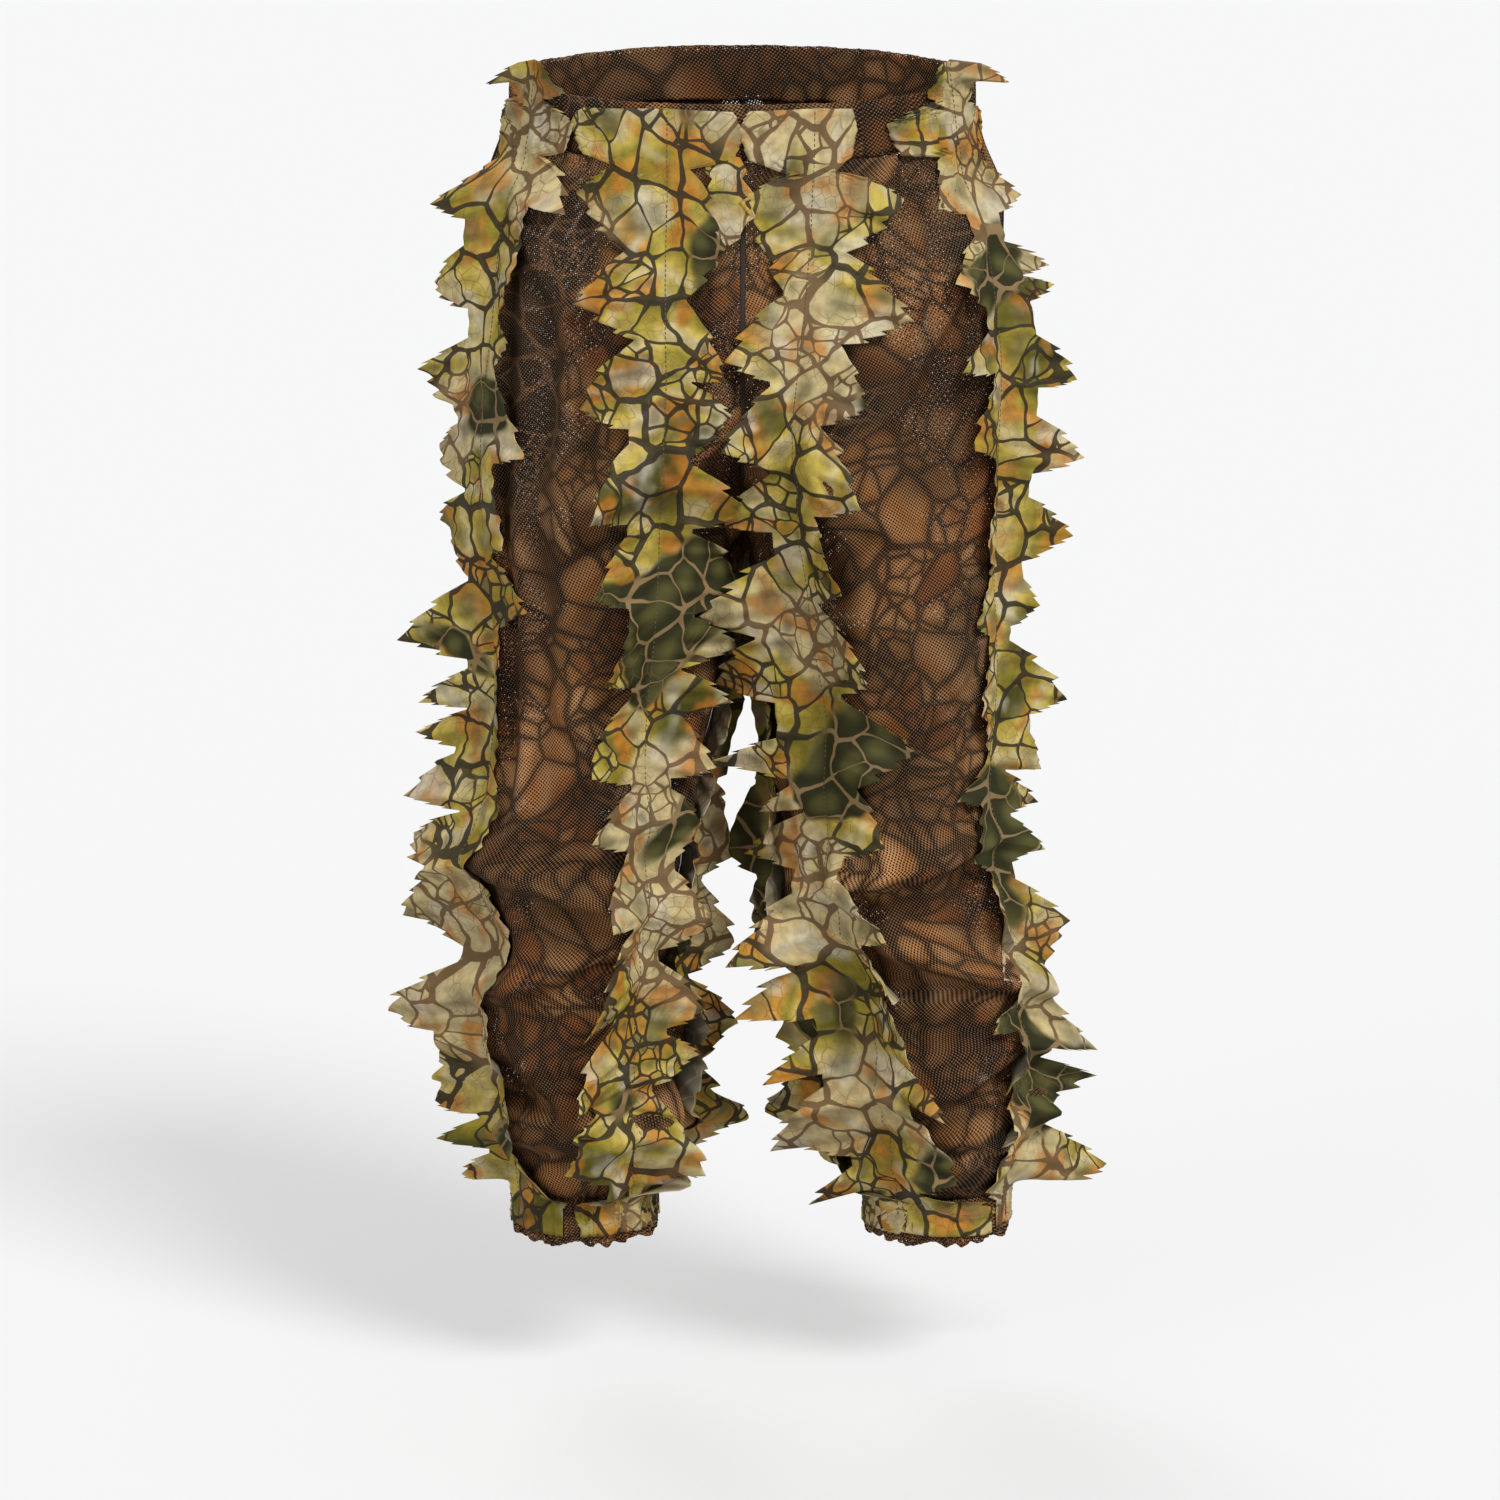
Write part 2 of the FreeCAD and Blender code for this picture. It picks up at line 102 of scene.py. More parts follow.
def inner_angle(s, z):
    """Angle where the section meets the middle plane; a half turn below the crotch."""
    xc, a, _, _ = section(s, z)
    return np.arccos(np.clip(-xc / a, -1, 1))


print("leg section at the knee", [np.round(v, 3) for v in section(1, np.array([-0.64]))])

# %% [markdown]
# ## Folds
# Net hangs in long soft folds, creases behind the knee and piles up above the cuffs. The folds
# are sums of sine waves with fixed random directions, so each run gives the same cloth. Close
# to the elastic the net is gathered into fine pleats, which fade out with distance.


# %% Wave sums, pleats and the folded skin
def waves(p, seed, lengths, count=9):
    """Sum of count sines over points p, with wavelengths of about lengths on x, y and z."""
    rng = np.random.default_rng(seed)
    total = np.zeros(p.shape[:-1])
    for _ in range(count):
        k = 2 * math.pi * rng.normal(size=3) * 0.7 / np.array(lengths)
        total += np.sin(p @ k + rng.uniform(0, 6.28))
    return total / math.sqrt(count)


def pleats(turn, seed, low, high, count=7):
    """Gathers round an elastic: sines with whole numbers of waves per turn, made ridged."""
    rng = np.random.default_rng(seed)
    total = np.zeros(np.shape(turn))
    for _ in range(count):
        total += np.sin(turn * rng.integers(low, high) + rng.uniform(0, 6.28))
    total /= math.sqrt(count)
    return 1 - 1.6 * np.abs(total) ** 0.8


def step(x, low, high):
    """Smooth step from 0 at low to 1 at high."""
    t = np.clip((x - low) / (high - low), 0, 1)
    return t * t * (3 - 2 * t)


CREASE_GAIN = 1.35      # all creases stand out this much further than their table says
CREASES = {     # x, height, slope in degrees, half length, how far it stands out; metres
    -1: [(-0.165, -0.668, -17, 0.085, 0.014), (-0.150, -0.738, 24, 0.080, 0.010),
         (-0.145, -0.862, -42, 0.060, 0.011), (-0.160, -0.905, 12, 0.060, 0.010),
         (-0.075, -0.330, 38, 0.070, 0.008), (-0.160, -0.150, -70, 0.070, 0.007),
         (-0.120, -0.560, -58, 0.075, 0.008)],
    1: [(0.135, -0.655, 18, 0.080, 0.012), (0.165, -0.735, -20, 0.085, 0.013),
        (0.190, -0.835, 30, 0.070, 0.011), (0.205, -0.895, -14, 0.060, 0.012),
        (0.080, -0.335, -38, 0.070, 0.008), (0.160, -0.190, 66, 0.075, 0.007),
        (0.150, -0.520, 55, 0.080, 0.008)],
}


def creases(s, p):
    """Single creases on the front: a soft swell above each line and a sharp drop below it."""
    x, z, total = p[..., 0], p[..., 2], 0.0
    for x0, z0, slope, half, high in CREASES[s]:
        c, d = math.cos(math.radians(slope)), math.sin(math.radians(slope))
        along = (x - x0) * c + (z - z0) * d
        above = (z - z0) * c - (x - x0) * d
        width = np.where(above > 0, 0.020, 0.0065)
        total = total + high * np.exp(-(above / width) ** 2 - (along / half) ** 4)
    return CREASE_GAIN * total * step(-p[..., 1], 0.0, 0.05)


def folds(s, p):
    """Outward shift of the net at base points p, in metres."""
    z = p[..., 2]
    waist = np.arctan2(p[..., 1] / 0.12, p[..., 0] / 0.19)
    xc, _, _, yc = section(s, z)
    cuff = np.arctan2(p[..., 1] - yc, s * p[..., 0] - xc)
    below, above = np.clip(-WAIST_H - z, 0, 1), np.clip(z - CUFF_TOP, 0, 1)
    free = (1 - np.exp(-below / 0.03)) * (1 - np.exp(-above / 0.02))
    out = 0.0056 * waves(p, 3, (0.085, 0.085, 0.38)) + 0.0024 * waves(p, 4, (0.045, 0.045, 0.15))
    out += 0.0085 * waves(p, 15, (0.17, 0.17, 0.070)) * np.exp(-((z + 0.72) / 0.12) ** 2)
    out += 0.0095 * waves(p, 6, (0.11, 0.11, 0.046)) * np.exp(-((z + 0.875) / 0.055) ** 2)
    out = (out + creases(s, p)) * free
    out += 0.0024 * pleats(waist, 7, 38, 70) * np.exp(-below / 0.050)
    out += 0.0022 * pleats(cuff, 8 + s, 18, 34) * np.exp(-above / 0.030)
    return out


def skin(s, z, th, face, off=0.0):
    """Points and outward normals of the net; th 0 is the outer side, face -1 the front."""
    z, th = np.broadcast_arrays(np.asarray(z, float), np.asarray(th, float))
    xc, a, b, yc = section(s, z)
    c, d = np.cos(th), np.sin(th)
    x, y = s * (xc + a * c), yc + face * b * d
    n = np.stack([s * c / a, face * d / b, np.zeros_like(x)], -1)
    n /= np.linalg.norm(n, axis=-1, keepdims=True)
    p = np.stack([x, y, z], -1)
    shift = off + folds(s, p)
    middle = np.where(z > CROTCH, step(np.abs(x), 0.0, 0.012), 1.0)
    p = p + n * shift[..., None] * np.stack([middle, np.ones_like(x), np.ones_like(x)], -1)
    tilt = TILT * np.clip((z - TILT_END) / (-WAIST_H - 0.001 - TILT_END), 0, 1)
    p[..., 2] += tilt * y
    return p, n


# %% [markdown]
# ## Turning grids of points into meshes
# Every cloth piece is a grid of points. Its UV map holds flat cloth measures in metres, so a
# printed cell has the same size on every piece.


# %% Grid mesh helper
LEAF_CLOTH, NET_CLOTH = 0.00035, 0.0004     # how thick the two cloths are


def grid_piece(name, p, uv, outward, mats, thick, closed=False):
    """Mesh from grid p (rows, columns, 3); its faces are turned to look along outward."""
    rows, cols = p.shape[:2]
    cells = cols if closed else cols - 1
    r, c = np.meshgrid(np.arange(rows - 1), np.arange(cells), indexing="ij")
    nxt = (c + 1) % cols
    quad = np.stack([r * cols + c, r * cols + nxt, (r + 1) * cols + nxt, (r + 1) * cols + c], -1)
    quad = quad.reshape(-1, 4)
    flat = p.reshape(-1, 3)
    e1, e2 = flat[quad[:, 2]] - flat[quad[:, 0]], flat[quad[:, 3]] - flat[quad[:, 1]]
    facing = np.einsum("ij,ij->i", np.cross(e1, e2), outward.reshape(-1, 3)[quad[:, 0]])
    corner_uv = uv.reshape(-1, 2)[quad]
    if closed:
        last = (c.ravel() == cols - 1)
        corner_uv[last, 1:3, 0] = uv[0, 0, 0] + (uv[0, 1, 0] - uv[0, 0, 0]) * cols
    if facing.sum() < 0:
        quad, corner_uv = quad[:, ::-1], corner_uv[:, ::-1]
    mesh = bpy.data.meshes.new(name)
    mesh.from_pydata(flat.tolist(), [], quad.tolist())
    layer = mesh.uv_layers.new(name="cloth")
    layer.data.foreach_set("uv", corner_uv.reshape(-1).astype(np.float32))
    mesh.polygons.foreach_set("use_smooth", np.ones(len(mesh.polygons), bool))
    for m in mats:
        mesh.materials.append(m)
    obj = bpy.data.objects.new(name, mesh)
    bpy.context.scene.collection.objects.link(obj)
    if thick:
        wall = obj.modifiers.new("thickness", "SOLIDIFY")
        wall.thickness, wall.offset, wall.use_even_offset = thick, -1.0, False
        wall.material_offset = len(mats) - 1
        wall.material_offset_rim = 0
    return obj


def plain_mesh(name, points, faces, mat):
    """Mesh without a UV map, with its outer sides recalculated."""
    mesh = bpy.data.meshes.new(name)
    mesh.from_pydata(points.tolist(), [], faces)
    work = bmesh.new()
    work.from_mesh(mesh)
    bmesh.ops.recalc_face_normals(work, faces=work.faces)
    work.to_mesh(mesh)
    work.free()
    mesh.polygons.foreach_set("use_smooth", np.ones(len(mesh.polygons), bool))
    mesh.materials.append(mat)
    obj = bpy.data.objects.new(name, mesh)
    bpy.context.scene.collection.objects.link(obj)
    return obj


# %% [markdown]
# ## Materials
# Both prints are patterns of cells. Voronoi noise gives the distance to the nearest edge between
# two cells. A plain limit on it gives outlines with sharp corners, so the limit grows with the
# distance from the cell's centre: outlines swell where three cells meet and the cells go round.


# %% Node helpers
def put(tree, kind, props=None, **inputs):
    """New node; i0, i1 name inputs by number, other keywords by socket name."""
    node = tree.nodes.new(kind)
    for key, value in (props or {}).items():
        setattr(node, key, value)
    for key, value in inputs.items():
        sock = node.inputs[int(key[1:])] if key[1:].isdigit() else node.inputs[key]
        if isinstance(value, bpy.types.NodeSocket):
            tree.links.new(value, sock)
        else:
            sock.default_value = value
    return node


def calc(tree, op, a, b=0.0, c=0.0):
    """Result of one Math node."""
    return put(tree, "ShaderNodeMath", {"operation": op}, i0=a, i1=b, i2=c).outputs[0]


def mix(tree, factor, a, b, how="MIX"):
    """Colour between a and b; how names another way of blending them."""
    a, b = (v if isinstance(v, bpy.types.NodeSocket) else (*v, 1) for v in (a, b))
    node = put(tree, "ShaderNodeMix", {"data_type": "RGBA", "blend_type": how},
               i0=factor, i6=a, i7=b)
    return node.outputs[2]


def choose(tree, factor, a, b):
    """Number between a and b."""
    return put(tree, "ShaderNodeMix", i0=factor, i2=a, i3=b).outputs[0]


def ramp(tree, value, low, high, first=0.0, last=1.0):
    """first to last as value goes from low to high, eased."""
    node = put(tree, "ShaderNodeMapRange", {"interpolation_type": "SMOOTHSTEP"}, Value=value)
    ends = {"From Min": low, "From Max": high, "To Min": first, "To Max": last}
    for key, number in ends.items():
        node.inputs[key].default_value = number
    return node.outputs[0]


def palette(tree, value, colours):
    """Colour ramp with evenly spaced colours."""
    node = put(tree, "ShaderNodeValToRGB", Fac=value)
    band = node.color_ramp
    while len(band.elements) < len(colours):
        band.elements.new(0.5)
    for i, colour in enumerate(colours):
        band.elements[i].position = i / (len(colours) - 1)
        band.elements[i].color = (*colour, 1)
    return node.outputs[0]


def noise(tree, vector, scale, detail=1.0, shift=(0.0, 0.0, 0.0)):
    """Noise value of 0 to 1, mostly 0.3 to 0.7, with features of about 1 / scale metres."""
    place = put(tree, "ShaderNodeVectorMath", i0=vector, i1=shift).outputs[0]
    return put(tree, "ShaderNodeTexNoise", {"noise_dimensions": "2D"}, Vector=place,
               Scale=scale, Detail=detail)


def bent(tree, vector, scale, reach):
    """The vector pushed about by noise, at most about reach metres."""
    push = put(tree, "ShaderNodeVectorMath", {"operation": "SUBTRACT"},
               i0=noise(tree, vector, scale).outputs["Color"], i1=(0.5, 0.5, 0.5)).outputs[0]
    return put(tree, "ShaderNodeVectorMath", {"operation": "MULTIPLY_ADD"}, i0=push,
               i1=(reach * 3, reach * 3, 0), i2=vector).outputs[0]


def cells(tree, vector, scale, swell):
    """Rounded distance to the outline, the cell's random colour, distance from its centre."""
    edge = put(tree, "ShaderNodeTexVoronoi",
               {"voronoi_dimensions": "2D", "feature": "DISTANCE_TO_EDGE"},
               Vector=vector, Scale=scale).outputs["Distance"]
    near = put(tree, "ShaderNodeTexVoronoi", {"voronoi_dimensions": "2D", "feature": "F1"},
               Vector=vector, Scale=scale)
    far = calc(tree, "MULTIPLY", calc(tree, "POWER", near.outputs["Distance"], 3.0), swell)
    inside = calc(tree, "SUBTRACT", edge, far)
    rand = put(tree, "ShaderNodeSeparateColor", Color=near.outputs["Color"])
    return inside, rand.outputs, near.outputs["Distance"]


def new_group(name, outputs):
    """Empty node group that takes a Vector, with its input socket and its output node."""
    tree = bpy.data.node_groups.new(name, "ShaderNodeTree")
    tree.interface.new_socket("Vector", in_out="INPUT", socket_type="NodeSocketVector")
    for label, kind in outputs:
        tree.interface.new_socket(label, in_out="OUTPUT", socket_type=kind)
    return tree, tree.nodes.new("NodeGroupInput").outputs[0], tree.nodes.new("NodeGroupOutput")


# %% The leaf print
LEAF_COLOURS = [(0.062, 0.056, 0.010), (0.145, 0.126, 0.016), (0.340, 0.265, 0.032),
                (0.540, 0.415, 0.085), (0.640, 0.520, 0.250), (0.560, 0.425, 0.085),
                (0.280, 0.228, 0.030), (0.570, 0.280, 0.040), (0.210, 0.182, 0.052)]
LEAF_LINE, SOFT_LINE, TAN_LINE = (0.034, 0.026, 0.017), (0.20, 0.115, 0.050), (0.36, 0.235, 0.11)
STAIN, GREY_CORE, WHITE = (0.52, 0.195, 0.026), (0.150, 0.134, 0.062), (0.60, 0.54, 0.40)
CREAM, DARK_CELL, DARK_SHEEN = (0.60, 0.49, 0.27), (0.034, 0.033, 0.012), (0.105, 0.098, 0.030)


def leaf_print_group():
    """Big cells, some split into small ones; cream, olive, ochre and white, with dark patches."""
    t, p, out = new_group("leaf_print", [("Color", "NodeSocketColor"),
                                         ("Height", "NodeSocketFloat")])
    q = bent(t, bent(t, p, 11.0, 0.012), 45.0, 0.0025)
    big, big_rand, big_dist = cells(t, q, 31.0, 0.17)
    small, small_rand, small_dist = cells(t, q, 62.0, 0.22)
    dark = ramp(t, noise(t, q, 6.5, 1.0, (3.7, 1.9, 0)).outputs[0], 0.616, 0.652)
    split = calc(t, "MULTIPLY", ramp(t, big_rand[0], 0.64, 0.65),
                 ramp(t, dark, 0.2, 0.8, 1.0, 0.15))
    wide = ramp(t, noise(t, p, 14.0, 1.0, (9.1, 0.4, 0)).outputs[0], 0.40, 0.62, 0.018, 0.040)
    wide = calc(t, "MULTIPLY", wide, ramp(t, dark, 0.0, 1.0, 1.0, 0.26))
    big_line = ramp(t, calc(t, "SUBTRACT", big, wide), -0.010, 0.014, 1.0, 0.0)
    small_line = ramp(t, calc(t, "SUBTRACT", small, wide), -0.004, 0.036, 1.0, 0.0)
    lines = calc(t, "MAXIMUM", big_line, calc(t, "MULTIPLY", small_line, split))
    dist = choose(t, split, big_dist, small_dist)
    rand = [choose(t, split, big_rand[k], small_rand[k]) for k in (1, 2)]

    zone = ramp(t, noise(t, p, 8.5, 1.5).outputs[0], 0.30, 0.70)
    pick = calc(t, "MULTIPLY_ADD", rand[0], 0.34, calc(t, "MULTIPLY", zone, 0.72))
    colour = palette(t, pick, LEAF_COLOURS)
    soft = ramp(t, noise(t, p, 6.0, 1.0, (8.2, 4.1, 0)).outputs[0], 0.53, 0.59, 0.0, 0.78)
    colour = mix(t, soft, colour, CREAM)
    cloud = noise(t, p, 30.0, 1.5, (1.3, 7.7, 0)).outputs[0]
    colour = mix(t, ramp(t, cloud, 0.51, 0.70, 0.0, 0.75), colour, STAIN)
    pale = noise(t, p, 27.0, 1.5, (6.3, 2.2, 0)).outputs[0]
    colour = mix(t, ramp(t, pale, 0.54, 0.74, 0.0, 0.66), colour, WHITE)
    core = calc(t, "MULTIPLY", ramp(t, dist, 0.10, 0.46, 1.0, 0.0), ramp(t, rand[1], 0.35, 0.8))
    colour = mix(t, calc(t, "MULTIPLY", core, 0.62), colour, GREY_CORE)
    shade = ramp(t, noise(t, p, 110.0, 3.0).outputs[0], 0.25, 0.75, 0.80, 1.12)
    grey = put(t, "ShaderNodeCombineColor", i0=shade, i1=shade, i2=shade).outputs[0]
    colour = mix(t, 1.0, colour, grey, "MULTIPLY")

    fine, _, _ = cells(t, q, 105.0, 0.0)
    veins = calc(t, "MULTIPLY", ramp(t, fine, 0.020, 0.060, 1.0, 0.0),
                 ramp(t, noise(t, p, 24.0, 1.0, (2.5, 5.5, 0)).outputs[0], 0.42, 0.60, 0.0, 0.55))
    colour = mix(t, veins, colour, SOFT_LINE)

    colour = mix(t, dark, colour, mix(t, ramp(t, dist, 0.05, 0.5), DARK_SHEEN, DARK_CELL))
    line_colour = mix(t, dark, mix(t, soft, LEAF_LINE, SOFT_LINE), TAN_LINE)
    thin = ramp(t, dark, 0.0, 1.0, 0.93, 0.72)
    colour = mix(t, calc(t, "MULTIPLY", lines, thin), colour, line_colour)
    t.links.new(colour, out.inputs["Color"])
    t.links.new(noise(t, p, 1100.0, 2.0).outputs[0], out.inputs["Height"])
    return t


LEAF_GROUP = leaf_print_group()

# %% The net print and its weave
NET_COLOURS = [(0.040, 0.019, 0.008), (0.120, 0.036, 0.009), (0.190, 0.062, 0.014),
               (0.300, 0.145, 0.058), (0.225, 0.086, 0.021), (0.370, 0.190, 0.080),
               (0.088, 0.034, 0.010)]
NET_LINE, NET_DARK, NET_TAN = (0.011, 0.006, 0.003), (0.018, 0.012, 0.008), (0.160, 0.075, 0.032)
HOLE_PITCH, WEAVE_SLANT = 0.0023, 33    # gap between two holes; slant of the weave, degrees
# Painted shade: near black round each hole, for the shaded inside seen through it. Painted
# highlight: a pale tan on the yarn between holes.
HOLE_PAINTED_SHADE, YARN_SHINE = (0.006, 0.005, 0.004), (0.60, 0.36, 0.19)


def net_group():
    """Brown cells, light in the middle, under a fine slanting weave of holes. Painted shade
    darkens the weave round each hole, and a painted highlight lies on the yarn between holes.
    """
    t, p, out = new_group("net_print", [("Color", "NodeSocketColor"), ("Alpha", "NodeSocketFloat"),
                                        ("Height", "NodeSocketFloat")])
    q = bent(t, p, 10.0, 0.014)
    big, big_rand, _ = cells(t, q, 27.0, 0.15)
    small, small_rand, _ = cells(t, q, 52.0, 0.17)
    split = ramp(t, big_rand[0], 0.42, 0.43)
    inside = choose(t, split, big, calc(t, "MINIMUM", big, calc(t, "MULTIPLY", small, 0.62)))
    rand = choose(t, split, big_rand[1], small_rand[1])
    zone = ramp(t, noise(t, p, 7.0, 1.5).outputs[0], 0.30, 0.70)
    pick = calc(t, "MULTIPLY_ADD", rand, 0.35, calc(t, "MULTIPLY", zone, 0.70))
    colour = palette(t, pick, NET_COLOURS)
    cloud = ramp(t, noise(t, p, 10.0, 1.0, (4.4, 8.8, 0)).outputs[0], 0.34, 0.66, 0.50, 1.40)
    rim = calc(t, "MULTIPLY", ramp(t, inside, 0.0, 0.24, 0.55, 1.10), cloud)
    grey = put(t, "ShaderNodeCombineColor", i0=rim, i1=rim, i2=rim).outputs[0]
    colour = mix(t, 1.0, colour, grey, "MULTIPLY")
    lines = ramp(t, inside, 0.006, 0.048, 1.0, 0.0)
    dark = ramp(t, noise(t, q, 5.0, 1.0, (5.1, 2.3, 0)).outputs[0], 0.560, 0.640)
    colour = mix(t, dark, colour, NET_DARK)
    line_colour = mix(t, dark, NET_LINE, NET_TAN)
    colour = mix(t, calc(t, "MULTIPLY", lines, ramp(t, dark, 0.0, 1.0, 0.72, 0.75)), colour,
                 line_colour)
    turned = put(t, "ShaderNodeMapping", Vector=p,
                 Rotation=(0, 0, math.radians(WEAVE_SLANT))).outputs[0]
    axes = put(t, "ShaderNodeSeparateXYZ", Vector=turned)
    turn = 2 * math.pi / HOLE_PITCH
    waves_xy = [calc(t, "SINE", calc(t, "MULTIPLY", axes.outputs[k], turn)) for k in (0, 1)]
    hole = calc(t, "ADD", *waves_xy)
    # Painted shade: the weave round each hole goes near black, for the shaded inside seen through
    # it; the alpha below cuts away only the middle of each hole.
    colour = mix(t, ramp(t, hole, -0.3, 0.9, 0.0, 0.92), colour, HOLE_PAINTED_SHADE)
    # Painted highlight: the yarn between the holes is lightened towards a pale tan.
    colour = mix(t, ramp(t, hole, -1.7, -0.3, 0.30, 0.0), colour, YARN_SHINE)
    t.links.new(colour, out.inputs["Color"])
    t.links.new(ramp(t, hole, 1.15, 1.45, 1.0, 0.0), out.inputs["Alpha"])
    t.links.new(hole, out.inputs["Height"])
    return t


NET_GROUP = net_group()


# %% Materials from the groups
LITTLE_SHINE = 0.12     # specular level of both cloths


def base_material(name, rough):
    """Cloth material with its shader and its flat cloth map."""
    mat = bpy.data.materials.new(name)
    mat.use_nodes = True
    tree = mat.node_tree
    shader = tree.nodes["Principled BSDF"]
    shader.inputs["Roughness"].default_value = rough
    shader.inputs["Specular IOR Level"].default_value = LITTLE_SHINE
    uv = put(tree, "ShaderNodeUVMap", {"uv_map": "cloth"}).outputs[0]
    return mat, tree, shader, uv


def bump(tree, shader, height, strength, distance):
    """Relief of the surface: height times distance metres."""
    node = put(tree, "ShaderNodeBump", Height=height, Strength=strength, Distance=distance)
    tree.links.new(node.outputs[0], shader.inputs["Normal"])


def leaf_material(name, pale):
    """The leaf print, faded towards a pale grey by the share pale."""
    mat, tree, shader, uv = base_material(name, 0.64)
    group = put(tree, "ShaderNodeGroup", {"node_tree": LEAF_GROUP}, Vector=uv)
    colour = group.outputs["Color"]
    if pale:
        colour = mix(tree, pale, colour, (0.46, 0.42, 0.32))
    tree.links.new(colour, shader.inputs["Base Color"])
    bump(tree, shader, group.outputs["Height"], 0.30, 0.0004)
    return mat


LEAF = leaf_material("leaf_print", 0.0)
LEAF_BACK = leaf_material("leaf_underside", 0.42)


def net_material():
    """The net print, let through by its holes."""
    mat, tree, shader, uv = base_material("net", 0.78)
    group = put(tree, "ShaderNodeGroup", {"node_tree": NET_GROUP}, Vector=uv)
    tree.links.new(group.outputs["Color"], shader.inputs["Base Color"])
    tree.links.new(group.outputs["Alpha"], shader.inputs["Alpha"])
    bump(tree, shader, group.outputs["Height"], 0.35, 0.0003)
    return mat


NET = net_material()


def thread_material():
    """Twisted thread: fine slanting stripes of two browns."""
    mat = bpy.data.materials.new("thread")
    mat.use_nodes = True
    tree = mat.node_tree
    place = put(tree, "ShaderNodeTexCoord").outputs["Object"]
    stripes = put(tree, "ShaderNodeTexWave", {"bands_direction": "DIAGONAL"}, Vector=place,
                  Scale=1500.0).outputs["Fac"]
    shader = tree.nodes["Principled BSDF"]
    colour = mix(tree, stripes, (0.085, 0.062, 0.034), (0.19, 0.145, 0.082))
    tree.links.new(colour, shader.inputs["Base Color"])
    shader.inputs["Roughness"].default_value = 0.55
    bump(tree, shader, stripes, 0.3, 0.0002)
    return mat


def ribbed_material(name, dark, light, pitch):
    """Ribbed tape or elastic: ribs of pitch metres down its height, with a woven grain."""
    mat = bpy.data.materials.new(name)
    mat.use_nodes = True
    tree = mat.node_tree
    place = put(tree, "ShaderNodeTexCoord").outputs["Object"]
    height = put(tree, "ShaderNodeSeparateXYZ", Vector=place).outputs[2]
    ribs = calc(tree, "SINE", calc(tree, "MULTIPLY", height, 2 * math.pi / pitch))
    grain = put(tree, "ShaderNodeTexNoise", Vector=place, Scale=700.0, Detail=2.0).outputs["Fac"]
    shader = tree.nodes["Principled BSDF"]
    tone = calc(tree, "MULTIPLY_ADD", ribs, 0.25, grain)
    tree.links.new(mix(tree, tone, dark, light), shader.inputs["Base Color"])
    shader.inputs["Roughness"].default_value = 0.85
    bump(tree, shader, tone, 0.5, 0.0004)
    return mat


THREAD = thread_material()
ELASTIC = ribbed_material("elastic", (0.020, 0.017, 0.014), (0.060, 0.050, 0.040), 0.0018)
SEAM = ribbed_material("seam_tape", (0.016, 0.011, 0.008), (0.055, 0.036, 0.026), 0.0011)
print("materials", [m.name for m in bpy.data.materials])

# %% [markdown]
# ## Which CAD parts a piece stands for
# A piece above the middle of the thigh stands for the hip and thigh parts, a piece below it
# for the shank. The cloth keeps its place and the CAD parts it stands for are hidden. The
# middle seams are hung on the hips.

# %% Where pieces part, and the CAD parts they hide
CUT, KNEE_END = -0.56, -0.76            # heights of the cut between upper and lower pieces, and of the knee's lower end


def follow(obj, part, nodes):
    """Bakes the piece's place into its mesh and hides the CAD nodes it stands for."""
    if part == "upper":
        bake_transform(obj)
    else:
        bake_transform(obj)
    if nodes:
        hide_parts(*nodes)
    return obj


# %% [markdown]
# ## Net panels
# Front and back panels of each leg. They share their folds along the seams, because the folds
# depend on the place in space and not on the panel.


# %% Build the panels
PANEL_COLUMNS = 72
ROW = 0.005                             # height between two rows of a panel
NEXT_SIDE, NEXT_FACE = 0.8, 2.1         # each panel is cut from another place on the bolt, metres


def spaced(top, low, gap):
    """Even heights from top down to low, about gap apart."""
    return np.linspace(top, low, int(round((top - low) / gap)) + 1)


def net_panel(s, face, top, low):
    """Panel from the side seam to the middle, with more rows where legs and pieces part."""
    z = spaced(top, low, ROW)
    near_cut = CUT + np.array([0.0003, -0.0003])
    extra = np.append(CROTCH + np.array([0.0125, 0.0085, 0.0065, 0.0035, -0.0015]), near_cut)
    z = np.sort(np.append(z, extra[(extra > low) & (extra < top)]))[::-1]
    share = np.linspace(0, 1, PANEL_COLUMNS)
    th = inner_angle(s, z)[:, None] * share[None, :]
    zz = np.broadcast_to(z[:, None], th.shape)
    p, n = skin(s, zz, th, face)
    step_len = np.linalg.norm(np.diff(p, axis=1), axis=2)
    across = np.concatenate([np.zeros((len(z), 1)), np.cumsum(step_len, 1)], 1)
    uv = np.stack([across * face * s + NEXT_SIDE * s + NEXT_FACE * face, zz], -1)
    return p, n, uv


panels = {}
for s, side in SIDES.items():
    for face, word in ((-1, "front"), (1, "back")):
        for part, top, low, nodes in (("upper", -WAIST_H, CUT, ["hip", "thigh"]),
                                      ("lower", CUT, CUFF_TOP, ["shank"])):
            p, n, uv = net_panel(s, face, top, low)
            name = f"{side}_{word}_{part}_net"
            obj = grid_piece(name, p, uv, n, [NET], NET_CLOTH)
            follow(obj, part, [f"{side}_{word}_{k}_panel" for k in nodes])
            width = float(np.ptp(uv[..., 0], axis=1).max())
            area = float(np.ptp(uv[..., 0], axis=1).mean() * (top - low))
            panels[name] = (obj, width, top - low, area)
print("panels", {k: tuple(round(x, 3) for x in v[1:]) for k, v in panels.items()})

# %% [markdown]
# ## Leaf ribbons
# A ribbon edge is a row of leaf lobes, each with small teeth. A lobe is given by the height
# where it starts, its tip, where it ends, and how far it reaches from the sewn middle line.

